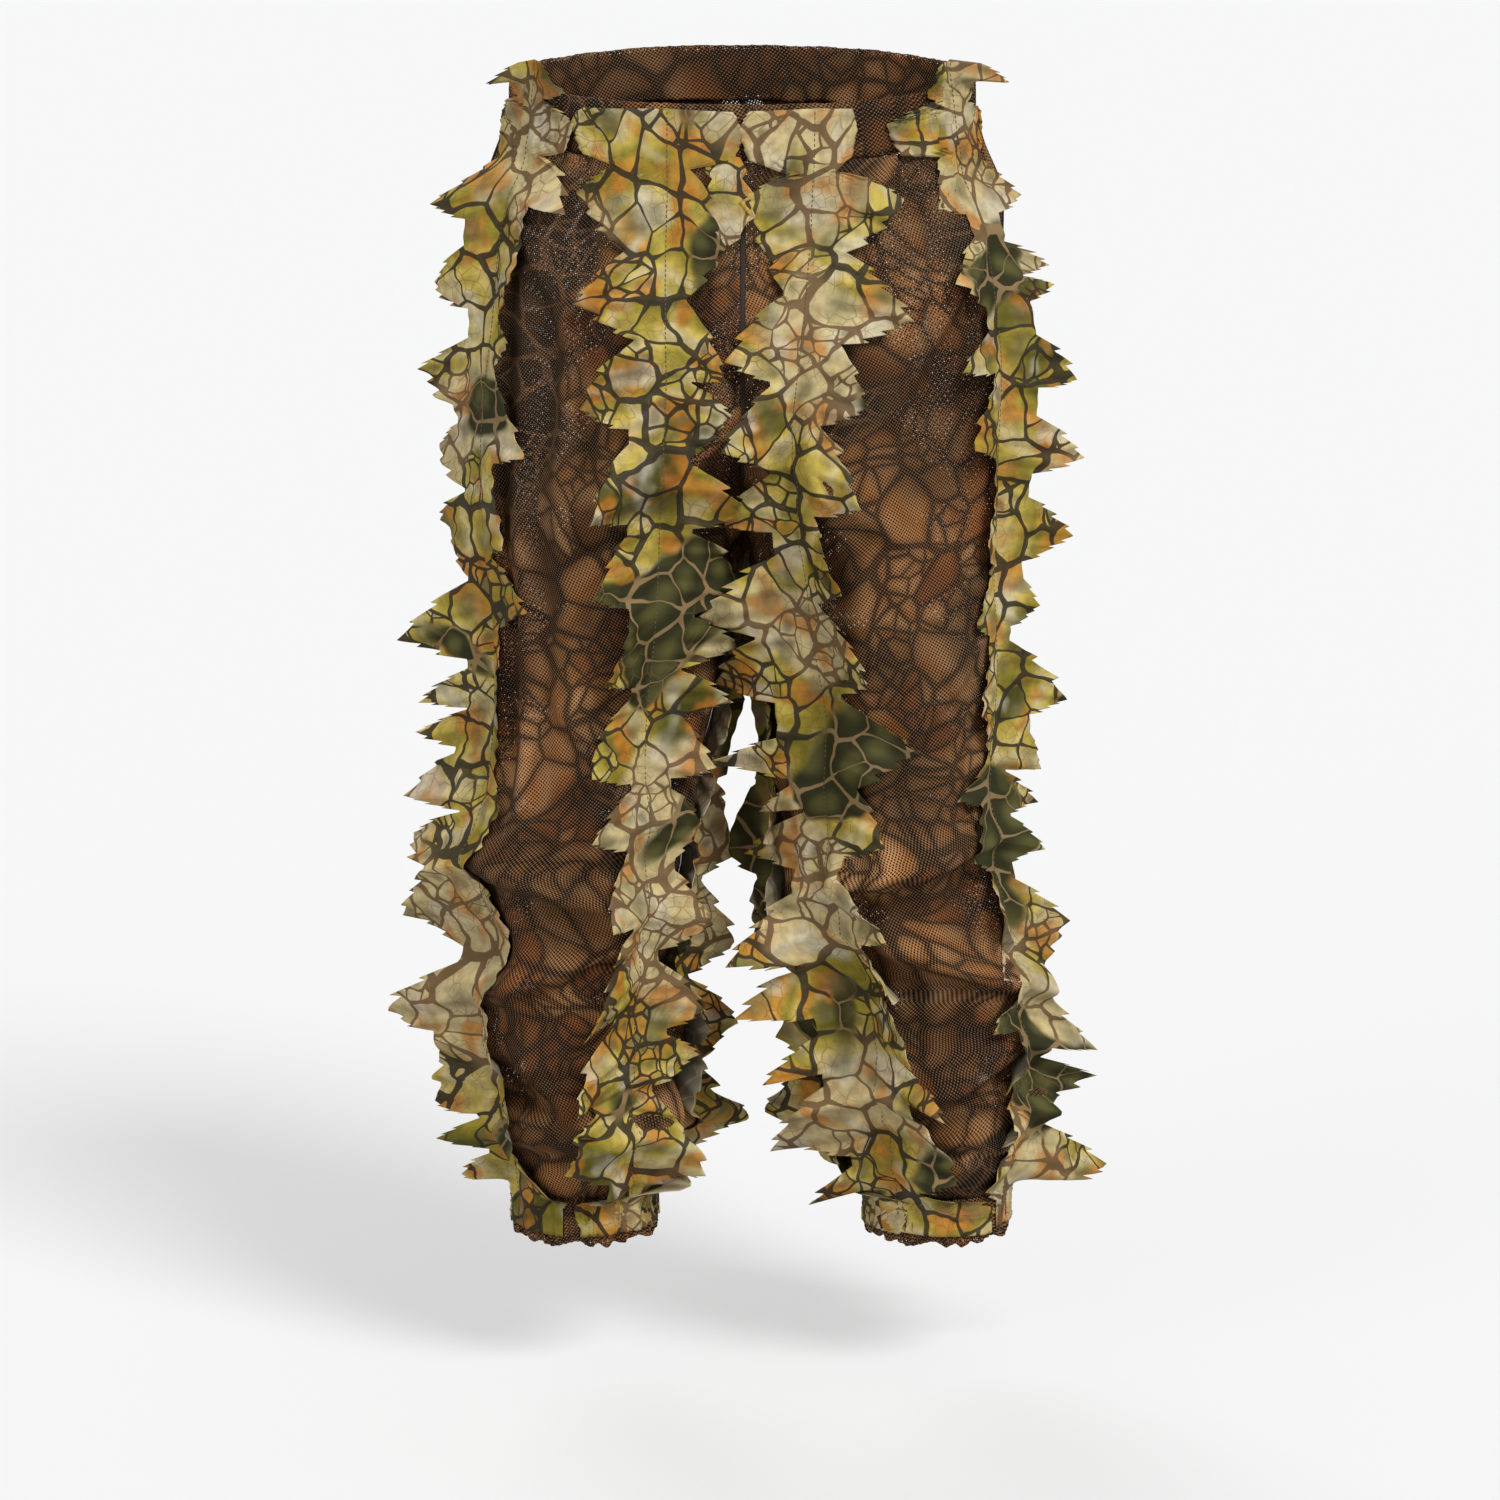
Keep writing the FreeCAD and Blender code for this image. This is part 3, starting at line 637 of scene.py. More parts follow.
# %% Lobes of the ribbons, in millimetres
LOBES = {
    ("right", "front", "out"): [
        (-3, -14, -40, 80), (-50, -68, -114, 75), (-114, -149, -192, 71),
        (-192, -247, -269, 72), (-280, -327, -345, 73), (-355, -399, -417, 58),
        (-425, -474, -487, 60), (-500, -554, -571, 60), (-576, -608, -627, 66),
        (-640, -687, -693, 58), (-700, -757, -768, 95), (-780, -828, -843, 79),
        (-850, -899, -917, 66), (-920, -950, -968, 48)],
    ("right", "front", "in"): [
        (-3, -22, -42, 56), (-50, -112, -157, 52), (-160, -219, -229, 50),
        (-231, -253, -296, 52), (-300, -345, -358, 68), (-362, -405, -432, 82),
        (-434, -462, -478, 80), (-480, -503, -516, 68), (-520, -553, -570, 60),
        (-580, -612, -640, 50), (-650, -690, -720, 55), (-730, -770, -790, 58),
        (-796, -815, -840, 62),
        (-845, -905, -925, 60), (-930, -955, -970, 40)],
    ("left", "front", "out"): [
        (-3, -20, -40, 34), (-52, -63, -114, 73), (-114, -158, -194, 84),
        (-194, -245, -269, 60), (-269, -329, -345, 64), (-345, -399, -419, 56),
        (-424, -456, -491, 92), (-495, -527, -567, 85), (-571, -608, -633, 60),
        (-651, -697, -706, 54), (-714, -741, -753, 72), (-754, -796, -800, 76),
        (-808, -830, -835, 84), (-838, -908, -930, 62), (-934, -955, -962, 84)],
    ("left", "front", "in"): [
        (-3, -18, -42, 56), (-54, -72, -153, 50), (-157, -208, -231, 54),
        (-235, -280, -307, 56), (-312, -355, -362, 56), (-383, -428, -449, 80),
        (-451, -490, -506, 88), (-537, -559, -571, 84), (-575, -590, -596, 60),
        (-600, -636, -651, 75), (-668, -706, -727, 84), (-731, -763, -774, 96),
        (-787, -815, -818, 82), (-830, -877, -895, 88), (-904, -955, -966, 84)],
    ("right", "side", "out"): [
        (24, 8, -8, 44), (-9, -24, -44, 60), (-56, -82, -100, 66), (-121, -143, -177, 70),
        (-202, -218, -259, 70), (-275, -288, -333, 68), (-336, -362, -407, 70),
        (-410, -443, -474, 88), (-482, -503, -516, 74), (-517, -528, -550, 80),
        (-558, -596, -606, 75), (-607, -615, -648, 84), (-651, -689, -723, 78),
        (-736, -774, -796, 94), (-817, -866, -873, 70), (-876, -888, -904, 56),
        (-908, -925, -938, 60), (-943, -966, -975, 42)],
    ("right", "side", "in"): [
        (24, 6, -6, 34), (-7, -20, -44, 42), (-50, -78, -84, 74), (-90, -150, -184, 32),
        (-187, -205, -228, 36), (-235, -288, -305, 60), (-310, -378, -385, 30),
        (-390, -430, -448, 50),
        (-455, -520, -560, 26), (-570, -596, -640, 30), (-650, -700, -770, 26),
        (-810, -884, -893, 52), (-897, -943, -950, 52)],
    ("left", "side", "out"): [
        (24, 12, -12, 46), (-13, -24, -44, 44), (-56, -82, -100, 50), (-125, -145, -153, 66),
        (-154, -160, -175, 60), (-202, -238, -247, 72), (-271, -301, -320, 70),
        (-341, -374, -395, 75), (-407, -425, -449, 40), (-462, -512, -524, 72),
        (-537, -566, -571, 48), (-572, -596, -608, 52), (-610, -634, -650, 40),
        (-662, -690, -736, 60), (-764, -804, -810, 66), (-820, -826, -860, 78),
        (-880, -908, -930, 98), (-940, -960, -972, 40)],
    ("left", "side", "in"): [
        (24, 16, -6, 30), (-7, -18, -44, 58), (-50, -84, -96, 40), (-114, -137, -173, 62),
        (-194, -214, -231, 66), (-235, -292, -305, 52), (-310, -380, -405, 28),
        (-407, -442, -453, 44), (-458, -510, -550, 24), (-562, -583, -596, 50),
        (-600, -640, -655, 26), (-660, -710, -715, 46), (-720, -735, -745, 24),
        (-745, -783, -788, 46), (-790, -830, -835, 54), (-840, -878, -882, 56),
        (-886, -930, -950, 28)],
}
FRONT_LINE = {          # height and x of the middle line of each front ribbon
    -1: np.array([(0, -60), (-235, -61), (-524, -78), (-776, -88), (-985, -98)]) / 1000,
    1: np.array([(0, 58), (-112, 56), (-277, 40), (-441, 56), (-524, 72), (-650, 68),
                 (-776, 104), (-862, 118), (-985, 140)]) / 1000,
}
NECK = (0.28, 0.52)     # least and most share of the reach left between two lobes
CASING_NECK = 0.86      # the same on a casing, where the ribbon is caught almost full width
FULLER = 1.07           # a wing is cut wider than it reaches, because it stands off at a slant
WIDE_INNER = 1.13       # the left front ribbon is wider still towards the middle, below its top
RIBBON_END, INNER_TOP = -0.975, -0.405
LOOSE_END = 0.024       # top of the side ribbons, loose above the waist
LEAST_SIDE = 38         # least reach of the side ribbons towards the front


def plain_lobes(top, first, reaches):
    """Regular lobes for the edges behind the legs and between them."""
    rows, z, i = [], top - first, 0
    while z - 60 > -975:
        pitch = 72 + 4 * (i % 4)
        rows.append((z, z - 0.62 * pitch, z - pitch, reaches[i % len(reaches)]))
        z, i = z - pitch - 4, i + 1
    return rows


def lobes_of(side, name, edge):
    """Rows (start, tip, end, reach) of one ribbon edge, in metres."""
    if (side, name, edge) in LOBES:
        rows = LOBES[(side, name, edge)]
        if (name, edge) == ("side", "in"):
            rows = [(*row[:3], max(row[3], LEAST_SIDE)) for row in rows]
        elif (side, name, edge) == ("left", "front", "in"):
            rows = [(*row[:3], row[3] * (WIDE_INNER if row[1] < -60 else 1)) for row in rows]
    elif name == "back":
        first, reaches = (6, (76, 70, 82, 74, 66)) if edge == "out" else (24, (58, 64, 56, 66))
        rows = [(-3, -20, -44, 52)] + plain_lobes(-48, first, reaches)
    else:
        first, reaches = (8, (58, 52, 64, 56)) if edge == "out" else (30, (62, 54, 66))
        rows = plain_lobes(-405, first, reaches)
    return np.array(rows) * np.array([1, 1, 1, FULLER]) / 1000


# Teeth of a lobe: share of the way to the tip (then from the tip on), share of the reach.
UPPER_EDGES = [
    [(0.28, .50), (0.34, .36), (0.62, .82), (0.68, .68)],
    [(0.20, .40), (0.25, .28), (0.45, .66), (0.50, .53), (0.75, .91), (0.80, .80)],
    [(0.40, .64), (0.46, .51), (0.74, .89), (0.79, .78)],
]
LOWER_EDGES = [
    [(0.26, .66), (0.32, .77), (0.58, .40), (0.64, .53)],
    [(0.20, .76), (0.25, .85), (0.45, .54), (0.50, .64), (0.74, .28), (0.79, .39)],
    [(0.34, .58), (0.40, .69), (0.70, .26), (0.75, .36)],
]


def outline(lobes, rng):
    """Corner points (height, reach) of one ribbon edge, from the top down."""
    neck = rng.uniform(*NECK)
    neck = (neck if lobes[0, 0] > 0 else CASING_NECK) * lobes[0, 3]
    pts = [(0.03, neck)]
    for z0, zt, z1, reach in lobes:
        z0 = min(z0, pts[-1][0] - 0.0006)
        up, low = UPPER_EDGES[rng.integers(3)], LOWER_EDGES[rng.integers(3)]
        pts.append((z0, neck))
        for f, r in up:
            share = r + rng.uniform(-.03, .03)
            pts.append((z0 + f * (zt - z0), neck + share * (reach - neck)))
        pts.append((zt, reach))
        pinch = rng.uniform(*NECK) * reach
        held = -WAIST_H < zt < -0.010 or zt < CUFF_TOP + 0.005
        neck = CASING_NECK * reach if held else pinch
        for f, r in low:
            share = r + rng.uniform(-.03, .03)
            pts.append((zt + f * (z1 - zt), neck + share * (reach - neck)))
        pts.append((z1, neck))
        if zt > -WAIST_H:
            neck = pinch
    pts.append((-1.0, neck))
    return np.array(pts)


print("lobes on the shown ribbons", sum(len(v) for v in LOBES.values()))

# %% [markdown]
# ## How a ribbon stands off the net
# Across a wing the cloth starts at the sewn line with a lift angle and turns by a curl angle
# until its edge. Adding up small steps along that changing heading keeps the width of the
# cloth true. Each lobe has its own lift and curl, and a sweep that points its tip down. On the
# casings the wings are gathered with the net and lie close round the elastic.

# %% Lift and curl of each wing
STYLE = {   # mean lift, spread of lift, mean curl, spread of curl, in radians
    ("front", "out"): (0.32, 0.13, -0.20, 0.38), ("front", "in"): (0.30, 0.13, -0.22, 0.38),
    ("side", "out"): (0.52, 0.16, 0.02, 0.34), ("side", "in"): (0.26, 0.12, -0.40, 0.34),
    ("back", "out"): (0.36, 0.12, -0.16, 0.32), ("back", "in"): (0.36, 0.12, -0.16, 0.32),
    ("inner", "out"): (0.34, 0.10, -0.10, 0.25), ("inner", "in"): (1.05, 0.12, -0.12, 0.30),
}


SEWN, CLEAR = 0.0005, 0.0013           # height over the net at the seam, and more beside it
OVER_PLEATS = 0.0022                   # more height where a ribbon lies on a gathered casing
WING_COLUMNS = 18
PUCKER, PUCKER_PITCH = 0.07, 0.016     # small puckers beside the stitching
WAVE, WAVE_TURN = 0.24, 90             # long waves down a wing, and radians of them per metre
FLAT_REACH = 0.075                     # the curl is reached after this much cloth


def on_casing(z):
    """1 where a ribbon is sewn down on the waist casing or on a cuff, 0 between them."""
    return np.maximum(step(z, -0.075, -0.046) * step(-z, -0.012, 0.0), step(-z, 0.928, 0.947))


def plateau(lobes, values, z):
    """Value of the lobe at each height, eased over the narrow places between lobes."""
    edge = 0.18 * (lobes[:, 0] - lobes[:, 2])
    zs = np.stack([lobes[:, 0] - edge, lobes[:, 2] + edge], 1).ravel()
    vs = np.repeat(values, 2)
    order = np.argsort(-zs)
    return np.interp(-z, -zs[order], vs[order])


def ribbon_line(s, name, z):
    """Section angle, face and unit tangent of the sewn line, with its place on the net."""
    xc, a, b, _ = section(s, z)
    if name == "front":
        x = s * np.interp(-z, -FRONT_LINE[s][:, 0], FRONT_LINE[s][:, 1])
        th, face = np.arccos(np.clip((x - xc) / a, -0.93, 0.93)), -1
    elif name == "back":
        full = xc + 0.10 * a
        back = np.where(z < -0.3, full, 0.07 + (full - 0.07) * np.clip(-z / 0.3, 0, 1))
        th, face = np.arccos((back - xc) / a), 1
    elif name == "side":
        th, face = np.full_like(z, math.radians(28)), -1
    else:
        th, face = np.full_like(z, math.pi), -1
    t = np.stack([-s * a * np.sin(th), face * b * np.cos(th), np.zeros_like(z)], -1)
    t /= np.linalg.norm(t, axis=1, keepdims=True)
    p, n = skin(s, z, th, face, SEWN + OVER_PLEATS * on_casing(z))
    return th, face, t, p, n


def wing(s, side, name, edge, z, seed):
    """Points of one wing: rows at heights z, columns from the sewn line to the edge.

    The heading of the cloth is the lift, plus the curl times the share of the way, plus waves
    and puckers. Steps of cosine and sine of it add up to the way across and the way out.
    """
    rng = np.random.default_rng(seed)
    lobes = lobes_of(side, name, edge)
    shape = outline(lobes, rng)
    reach = np.interp(-z, -shape[:, 0], shape[:, 1])
    lift0, lift1, curl0, curl1 = STYLE[(name, edge)]
    count = len(lobes)
    lift = plateau(lobes, np.clip(lift0 + lift1 * rng.normal(size=count), 0.10, 1.0), z)
    curl = plateau(lobes, curl0 + curl1 * rng.normal(size=count), z)
    sweep = plateau(lobes, rng.uniform(0.06, 0.30, count), z)
    phase = plateau(lobes, rng.uniform(0, 6.28, count), z)
    if name == "inner":
        gap = section(s, z)[0] - section(s, z)[1]
        fill = 0.95 - 0.45 * np.exp(-((z + 0.565) / 0.045) ** 2)
        reach = np.minimum(reach, 0.004 + fill * gap / np.sin(lift))
    elif name == "front" and edge == "in":
        lift = lift + s * 0.09 * np.exp(-((z - INNER_TOP + 0.04) / 0.07) ** 2)
    u = np.linspace(0, 1, WING_COLUMNS) ** 0.9
    dist = reach[:, None] * u
    share = dist / FLAT_REACH
    heading = lift[:, None] + curl[:, None] * share + WAVE * share * np.sin(
        z[:, None] * WAVE_TURN + phase[:, None] + 3 * share)
    heading = heading + PUCKER * np.sin(z[:, None] * 2 * math.pi / PUCKER_PITCH
                                        + phase[:, None]) * np.exp(-share / 0.22)
    gap = np.diff(dist, axis=1)
    mid = (heading[:, 1:] + heading[:, :-1]) / 2
    zero = np.zeros((len(z), 1))
    across = np.concatenate([zero, np.cumsum(np.cos(mid) * gap, 1)], 1)
    out = np.concatenate([zero, np.cumsum(np.sin(mid) * gap, 1)], 1)
    th, face, t, p, n = ribbon_line(s, name, z)
    sign = 1.0 if edge == "in" else -1.0
    down = np.sin(sweep)[:, None] * dist
    free = (p[:, None] + sign * np.cos(sweep)[:, None, None] * across[..., None] * t[:, None]
            + out[..., None] * n[:, None])
    free[..., 2] -= down
    _, a, b, _ = section(s, z)
    turn = sign * dist / np.sqrt((a * np.sin(th)) ** 2 + (b * np.cos(th)) ** 2)[:, None]
    zz = np.broadcast_to(z[:, None], dist.shape) - down * 0.2
    lie = SEWN + CLEAR * np.minimum(1, share / 0.15) + OVER_PLEATS * on_casing(z)[:, None]
    wrapped, around = skin(s, zz, th[:, None] + turn, face, lie)
    close = -np.sum((free - wrapped) * around, -1)
    free = free + np.maximum(close, 0)[..., None] * around
    hug = on_casing(z)[:, None, None]
    pts = free * (1 - hug) + wrapped * hug
    uv = np.stack([sign * dist, np.broadcast_to(z[:, None], dist.shape) - down], -1)
    return pts, uv, n


STITCH, STITCH_PITCH, THREAD_R = 0.0028, 0.0042, 0.00045    # length, gap, half thickness


def ribbon_rows(shapes, top, low):
    """Heights of the rows: even steps, and a row at every corner of both outlines."""
    z = set(np.round(spaced(top, low, 0.0032), 6))
    z |= {round(CUT + k, 6) for k in (0.0003, -0.0003) if low < CUT + k < top}
    for shape in shapes:
        z |= {round(float(v), 6) for v in shape[:, 0] if low < v < top}
    z = sorted(z, reverse=True)
    keep = [z[0]]
    for v in z[1:-1]:
        if keep[-1] - v > 0.00025 and v - z[-1] > 0.00025:
            keep.append(v)
    return np.array(keep + [z[-1]])


NEXT_CUT = np.array([0.37, 0.61])      # how far along the bolt the next ribbon is cut; metres


def ribbon(s, name, part, top, low, number):
    """One length of ribbon: both wings in one sheet, with the stitches that hold it."""
    side = SIDES[s]
    seeds = {"out": 100 + number, "in": 200 + number}
    shapes = [outline(lobes_of(side, name, e), np.random.default_rng(seeds[e]))
              for e in ("out", "in")]
    z = ribbon_rows(shapes, top, low)
    outer, outer_uv, _ = wing(s, side, name, "out", z, seeds["out"])
    inner, inner_uv, n = wing(s, side, name, "in", z, seeds["in"])
    p = np.concatenate([outer[:, :0:-1], inner], 1)
    uv = np.concatenate([outer_uv[:, :0:-1], inner_uv], 1) + NEXT_CUT * number
    normal = np.broadcast_to(n[:, None], p.shape)
    nodes = {"upper": ["top", "hip", "thigh"], "lower": ["shank"]}[part]
    if name == "inner" and part == "upper":
        nodes = ["thigh"]
    obj = grid_piece(f"{side}_{name}_{part}_leaf", p, uv, normal, [LEAF, LEAF_BACK],
                     LEAF_CLOTH)
    follow(obj, part, [f"{side}_{name}_leaf_{k}" for k in nodes])
    width = float(np.ptp(uv[..., 0])) + 0.002
    widths = uv[:, -1, 0] - uv[:, 0, 0]
    area = float(np.sum((widths[1:] + widths[:-1]) * -np.diff(z)) / 2)
    thread = stitches(s, name, part, top, low)
    return obj, width, float(top - low), area


def stitches(s, name, part, top, low):
    """Row of stitches down the sewn line: each is a short thread, thickest in its middle."""
    z = np.arange(top - 0.004, low + 0.004, -STITCH_PITCH)
    _, _, t, p, n = ribbon_line(s, name, z)
    low_end = ribbon_line(s, name, z - STITCH_PITCH)[3]
    along = (low_end - p) / STITCH_PITCH
    turn = np.linspace(0, 2 * math.pi, 6, endpoint=False)
    place = np.array([-1.0, -0.6, 0.6, 1.0]) * STITCH / 2
    thick = np.array([0.3, 1.0, 1.0, 0.3]) * THREAD_R
    ring = np.cos(turn)[:, None, None] * t + np.sin(turn)[:, None, None] * n
    pts = (p + n * THREAD_R * 0.4)[None, None] + along[None, None] * place[:, None, None, None]
    pts = pts + ring[None] * thick[:, None, None, None]
    pts = pts.transpose(2, 0, 1, 3)
    base = 24 * np.arange(len(z))[:, None]
    k, j = np.meshgrid(np.arange(3), np.arange(6), indexing="ij")
    k, j, nxt = k.ravel(), j.ravel(), (j.ravel() + 1) % 6
    quads = np.stack([6 * k + j, 6 * k + nxt, 6 * k + 6 + nxt, 6 * k + 6 + j], -1)
    faces = (base[..., None] + quads[None]).reshape(-1, 4).tolist()
    faces += (base + np.arange(5, -1, -1)).tolist() + (base + 18 + np.arange(6)).tolist()
    obj = plain_mesh(f"{SIDES[s]}_{name}_{part}_stitches", pts.reshape(-1, 3), faces, THREAD)
    return follow(obj, part, [])


ribbons, number = {}, 0
for s, side in SIDES.items():
    for name in ("front", "side", "back", "inner"):
        number += 1
        first = {"inner": INNER_TOP + 0.017, "side": LOOSE_END}.get(name, -0.003)
        for part, top, low in (("upper", first, CUT), ("lower", CUT, RIBBON_END)):
            made = ribbon(s, name, part, top, low, number)
            ribbons[made[0].name] = made
print("ribbons", {k: tuple(round(x, 3) for x in v[1:]) for k, v in ribbons.items()})

# %% [markdown]
# ## Waist and cuffs
# The net is folded over an elastic at the waist and at each cuff. The elastic gathers both
# casings into small upright pleats. A cloth simulation could gather them too, but a profile
# carried round an oval gives the same pleats on each run, and they meet those of the net.

# %% Gathered casings
RING = np.linspace(0, 2 * math.pi, 600, endpoint=False)
WALL = 0.005            # from the outside of a casing to its inside


def casing(name, centre, radii, pleat, top, height, tilt, uneven):
    """Closed tube wall round an elastic: an oval ring with pleats that swell in the middle."""
    turn = RING
    outer = [(-0.0014, -1.0), (0.0002, -0.97), (0.0008, -0.80), (0.0010, -0.5), (0.0008, -0.2),
             (0.0002, -0.05), (-0.0012, 0.0), (-0.0026, 0.012), (-0.0040, 0.0),
             (-WALL, -0.06), (-WALL, -0.5), (-WALL, -0.94), (-0.0040, -1.0),
             (-0.0026, -1.012), (-0.0014, -1.0)]
    off = np.array([o for o, _ in outer])
    h = np.array([v for _, v in outer]) * height
    ridge = np.maximum(pleat, -0.5)
    weight = np.where(off > -0.003, 1.0, 0.0)
    grow = off[:, None] + 0.0022 * ridge[None] * weight[:, None]
    x = centre[0] + (radii[0] + grow) * np.cos(turn)
    y = centre[1] + (radii[1] + grow) * np.sin(turn)
    ragged = np.sin(17 * turn + 2 * np.sin(5 * turn)) + 0.7 * np.sin(7 * turn + 1)
    z = top + h[:, None] + tilt * y + uneven * ragged * np.clip(-h / height, 0.3, 1)[:, None]
    p = np.stack([x, y, z], -1)
    u = np.broadcast_to(turn * (radii[0] + radii[1]) / 2, x.shape)
    v = np.concatenate([[0], np.cumsum(np.hypot(np.diff(off), np.diff(h)))])[:, None] + 0 * x
    uv = np.stack([u, v], -1)
    mid = np.array([off.mean(), h.mean()])
    away = np.stack([(off[:, None] - mid[0]) * np.cos(turn), (off[:, None] - mid[0])
                     * np.sin(turn), (h[:, None] - mid[1]) * 0.3 + 0 * turn], -1)
    return grid_piece(name, p, uv, away, [NET], 0, closed=True)


waist = casing("waist_casing", (0, 0), (0.19, 0.12), pleats(RING, 7, 38, 70), 0.0, WAIST_H, TILT,
               0.0008)
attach(waist, "hips")
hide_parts("waist_casing_front", "waist_casing_back")
for s, side in SIDES.items():
    xc, _, _, yc = (float(v[0]) for v in section(s, np.array([HEM])))
    turn = RING if s > 0 else math.pi - RING
    cuff = casing(f"{side}_cuff_casing", (s * xc, yc), (0.06, 0.06), pleats(turn, 8 + s, 18, 34),
                  CUFF_TOP, CUFF_TOP - HEM, 0.0, 0.0019)
    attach(cuff, side + "_shank")
    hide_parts(f"{side}_cuff_front", f"{side}_cuff_back")
for name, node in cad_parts.items():
    if "elastic" in name:
        node.data.materials.clear()
        node.data.materials.append(ELASTIC)

# %% [markdown]
# ## Seams
# The halves are joined down the middle of the front and back, the panels down the outside of
# each leg. A seam is a narrow ridge where two edges of net are folded together.


# %% Seam ridges
SEAM_HALF, SEAM_HIGH = 0.0026, 0.0013


def seam(name, s, z, th, face, across):
    """Ridge along the skin line (z, th): a low arch of seven points across, closed below."""
    p, n = skin(s, z, th, face)
    u = np.linspace(-1, 1, 7)
    high = SEAM_HIGH * (1 - u**4)
    low = np.linspace(1, -1, 4)[1:-1]
    side = np.concatenate([u, low]) * SEAM_HALF
    up = np.concatenate([high, np.full(len(low), -0.0004)])
    pts = p[:, None] + side[None, :, None] * across + up[None, :, None] * n[:, None]
    ring = pts.shape[1]
    r, c = np.meshgrid(np.arange(len(z) - 1), np.arange(ring), indexing="ij")
    r, c, nxt = r.ravel(), c.ravel(), (c.ravel() + 1) % ring
    faces = np.stack([r * ring + c, r * ring + nxt, (r + 1) * ring + nxt, (r + 1) * ring + c],
                     -1).tolist()
    faces += [list(range(ring)), list(range((len(z) - 1) * ring, len(z) * ring))]
    return plain_mesh(name, pts.reshape(-1, 3), faces, SEAM)


for face, word in ((-1, "front"), (1, "back")):
    z = spaced(-WAIST_H - 0.001, -0.379, 0.004)
    ridge = seam(f"centre_{word}_seam", 1, z, inner_angle(1, z), face, np.array([1.0, 0, 0]))
    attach(ridge, "hips")
for s, side in SIDES.items():
    for part, top, low in (("upper", -WAIST_H - 0.001, CUT), ("lower", CUT, CUFF_TOP)):
        z = spaced(top, low, 0.004)
        ridge = seam(f"{side}_side_{part}_seam", s, z, 0 * z, -1, np.array([0, 1.0, 0]))
        follow(ridge, part, [])

# %% [markdown]
# ## Loose leaf end at the waist
# One ribbon offcut is caught in the waist seam beside the middle. Only its top edge is held, so
# it hangs over the net and curls outwards.

# %% The leaf end
TAB_X, TAB_TOP, TAB_LOW = -0.015, -0.040, -0.116
TAB_EDGE = np.array([(0, .013), (.16, .017), (.24, .012), (.42, .021), (.50, .016), (.66, .022),
                     (.73, .015), (.86, .011), (.90, .012), (1, .0015)])


def leaf_end():
    """Grid down the tab (v) and across it (u): a jagged leaf shape that curls outwards."""
    v = np.sort(np.unique(np.append(np.linspace(0, 1, 40), TAB_EDGE[:, 0])))
    u = np.linspace(-1, 1, 15)
    half = np.interp(v, TAB_EDGE[:, 0], TAB_EDGE[:, 1])
    flat_x = u[None] * half[:, None] + 0.004 * np.sin(3 * v)[:, None]
    flat_z = v[:, None] * (TAB_LOW - TAB_TOP) + 0 * flat_x
    z = TAB_TOP + flat_z
    back, _ = skin(-1, z, inner_angle(-1, z), -1, 0.0)
    away = 0.0045 + 0.010 * v[:, None] ** 2 + 0.005 * u[None] ** 2 * v[:, None]
    away = away + 0.0015 * np.sin(9 * v[:, None] + 2 * u[None])
    p = np.stack([TAB_X + flat_x, back[..., 1] - away, back[..., 2]], -1)
    outward = np.broadcast_to([0.0, -1.0, 0.0], p.shape)
    return grid_piece("waist_leaf_end", p, np.stack([flat_x + 0.2, flat_z + 0.3], -1), outward,
                      [LEAF, LEAF_BACK], LEAF_CLOTH)


tab = leaf_end()
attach(tab, "hips")
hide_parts("waist_leaf_tab")

# %% [markdown]
# ## Floor, light and camera
# A wide bright sky and three soft suns light the cloth from all round, so its dark folds stay
# readable. To the camera the floor and the sky look as bright as each other.

# %% Stage
SKY_SEEN, SKY_LIGHT = 0.935, 0.40       # brightness of the backdrop, and of its light
FLOOR_GLOW = 0.40                      # brings the floor up to the backdrop's brightness


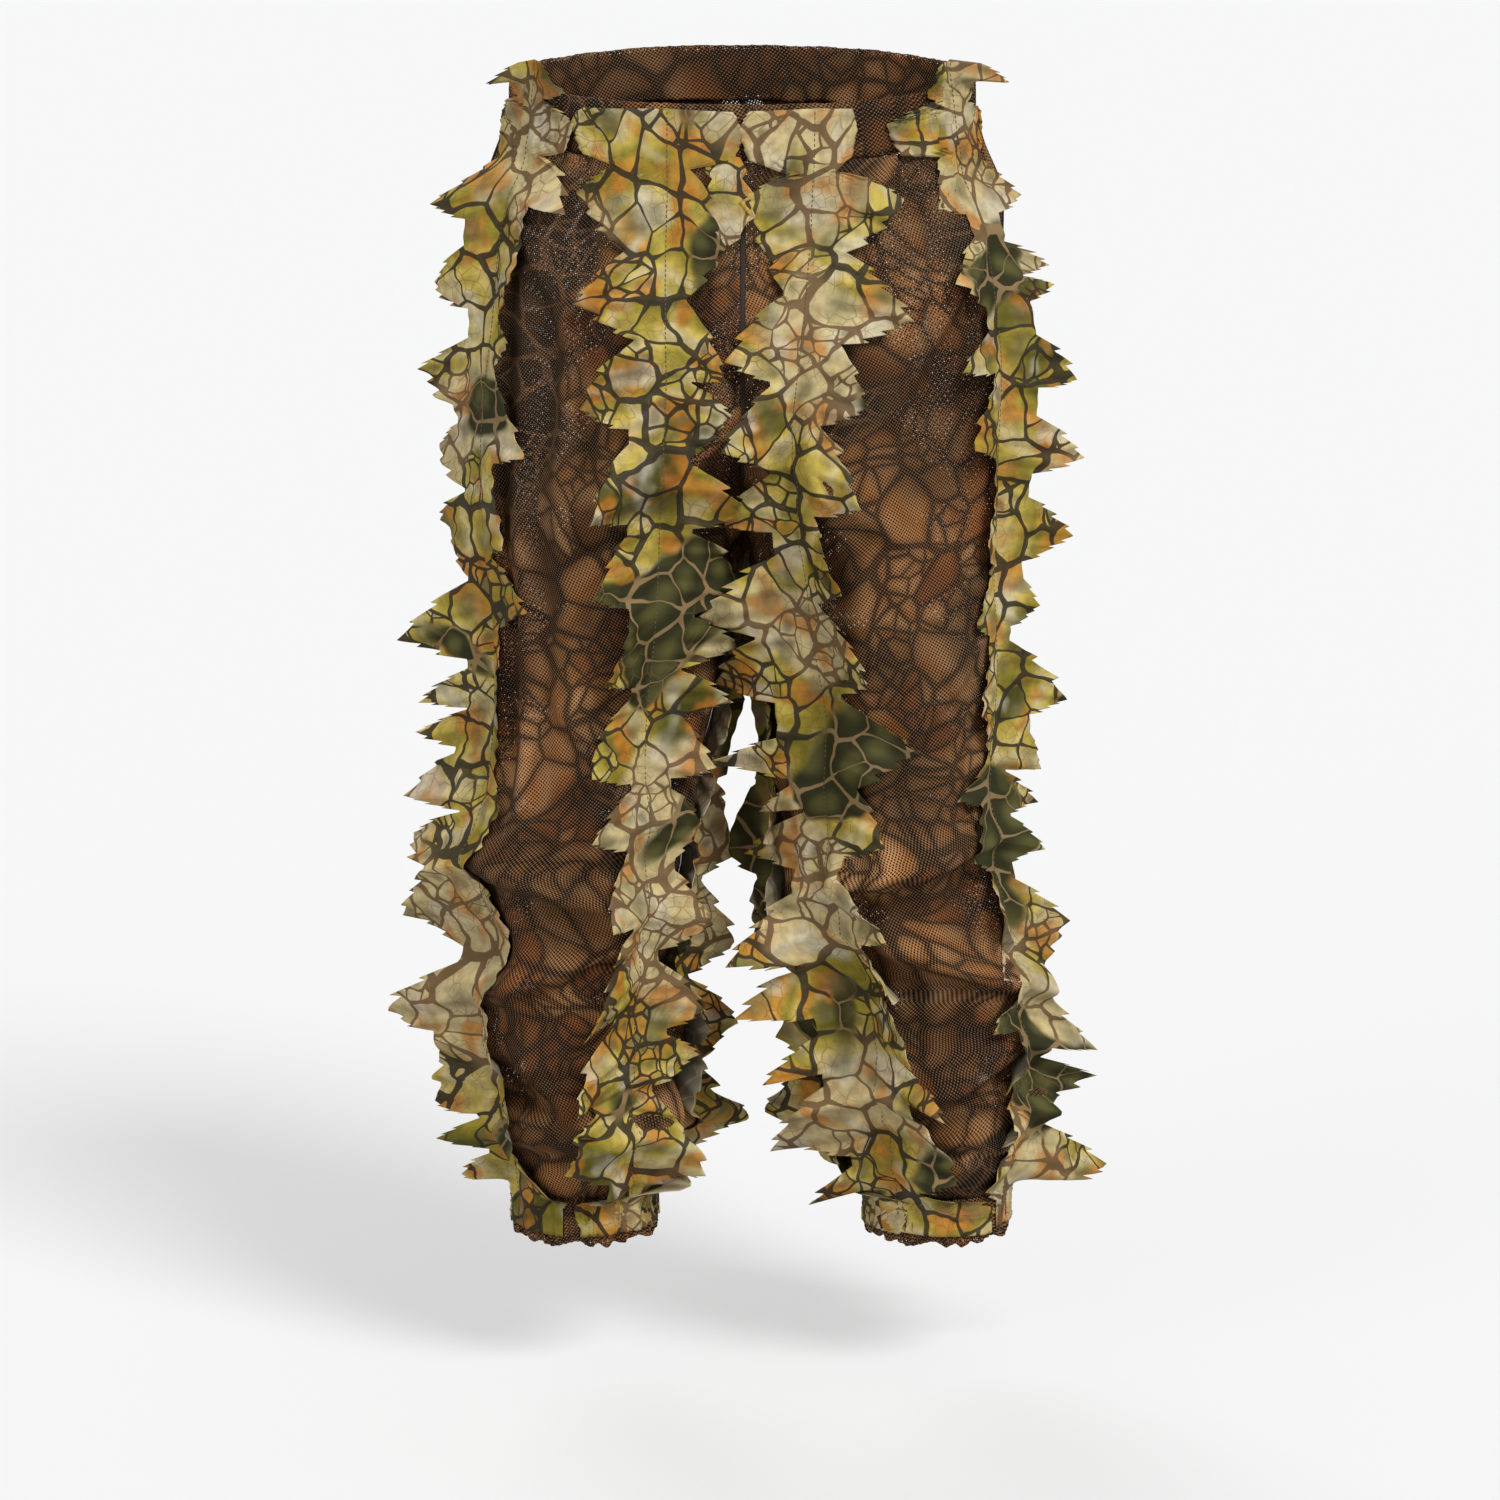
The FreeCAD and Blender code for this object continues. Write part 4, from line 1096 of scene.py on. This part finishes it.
def sun(name, place, width, power):
    """Soft light from the direction of place, as wide as width degrees."""
    data = bpy.data.lights.new(name, "SUN")
    data.angle, data.energy = math.radians(width), power
    obj = bpy.data.objects.new(name, data)
    bpy.context.scene.collection.objects.link(obj)
    obj.rotation_euler = (-Vector(place)).to_track_quat("-Z", "Y").to_euler()
    return obj


FLOOR = -1.11
mesh = bpy.data.meshes.new("floor")
mesh.from_pydata([(-60, -60, FLOOR), (60, -60, FLOOR), (60, 60, FLOOR), (-60, 60, FLOOR)], [],
                 [(0, 1, 2, 3)])
floor = bpy.data.objects.new("floor", mesh)
bpy.context.scene.collection.objects.link(floor)
pale = bpy.data.materials.new("floor")
pale.use_nodes = True
paint = pale.node_tree.nodes["Principled BSDF"]
paint.inputs["Base Color"].default_value = (0.50, 0.50, 0.50, 1)
paint.inputs["Roughness"].default_value = 0.95
paint.inputs["Specular IOR Level"].default_value = 0.0
paint.inputs["Emission Color"].default_value = (1, 1, 1, 1)
seen = put(pale.node_tree, "ShaderNodeLightPath").outputs["Is Camera Ray"]
glow = calc(pale.node_tree, "MULTIPLY", seen, FLOOR_GLOW)
pale.node_tree.links.new(glow, paint.inputs["Emission Strength"])
mesh.materials.append(pale)

world = bpy.data.worlds.new("studio")
bpy.context.scene.world = world
world.use_nodes = True
sky = world.node_tree.nodes["Background"]
sky.inputs[0].default_value = (0.985, 0.99, 1.0, 1)
seen = put(world.node_tree, "ShaderNodeLightPath").outputs["Is Camera Ray"]
world.node_tree.links.new(calc(world.node_tree, "MULTIPLY_ADD", seen, SKY_SEEN - SKY_LIGHT,
                               SKY_LIGHT), sky.inputs[1])
sun("key", (0.60, -0.80, 0.95), 22, 2.15)
sun("fill", (-0.85, -0.9, 0.35), 40, 0.60)
sun("back", (-0.35, 0.9, 0.7), 30, 0.80)

cam_data = bpy.data.cameras.new("camera")
cam_data.lens = 115.6
camera = bpy.data.objects.new("camera", cam_data)
bpy.context.scene.collection.objects.link(camera)
camera.location = (0.006, -4.0, 0.19)
aim = Vector((0.006, 0, -0.566)) - camera.location
camera.rotation_euler = aim.to_track_quat("-Z", "Y").to_euler()
bpy.context.scene.camera = camera
bpy.context.scene.view_settings.view_transform = "Standard"
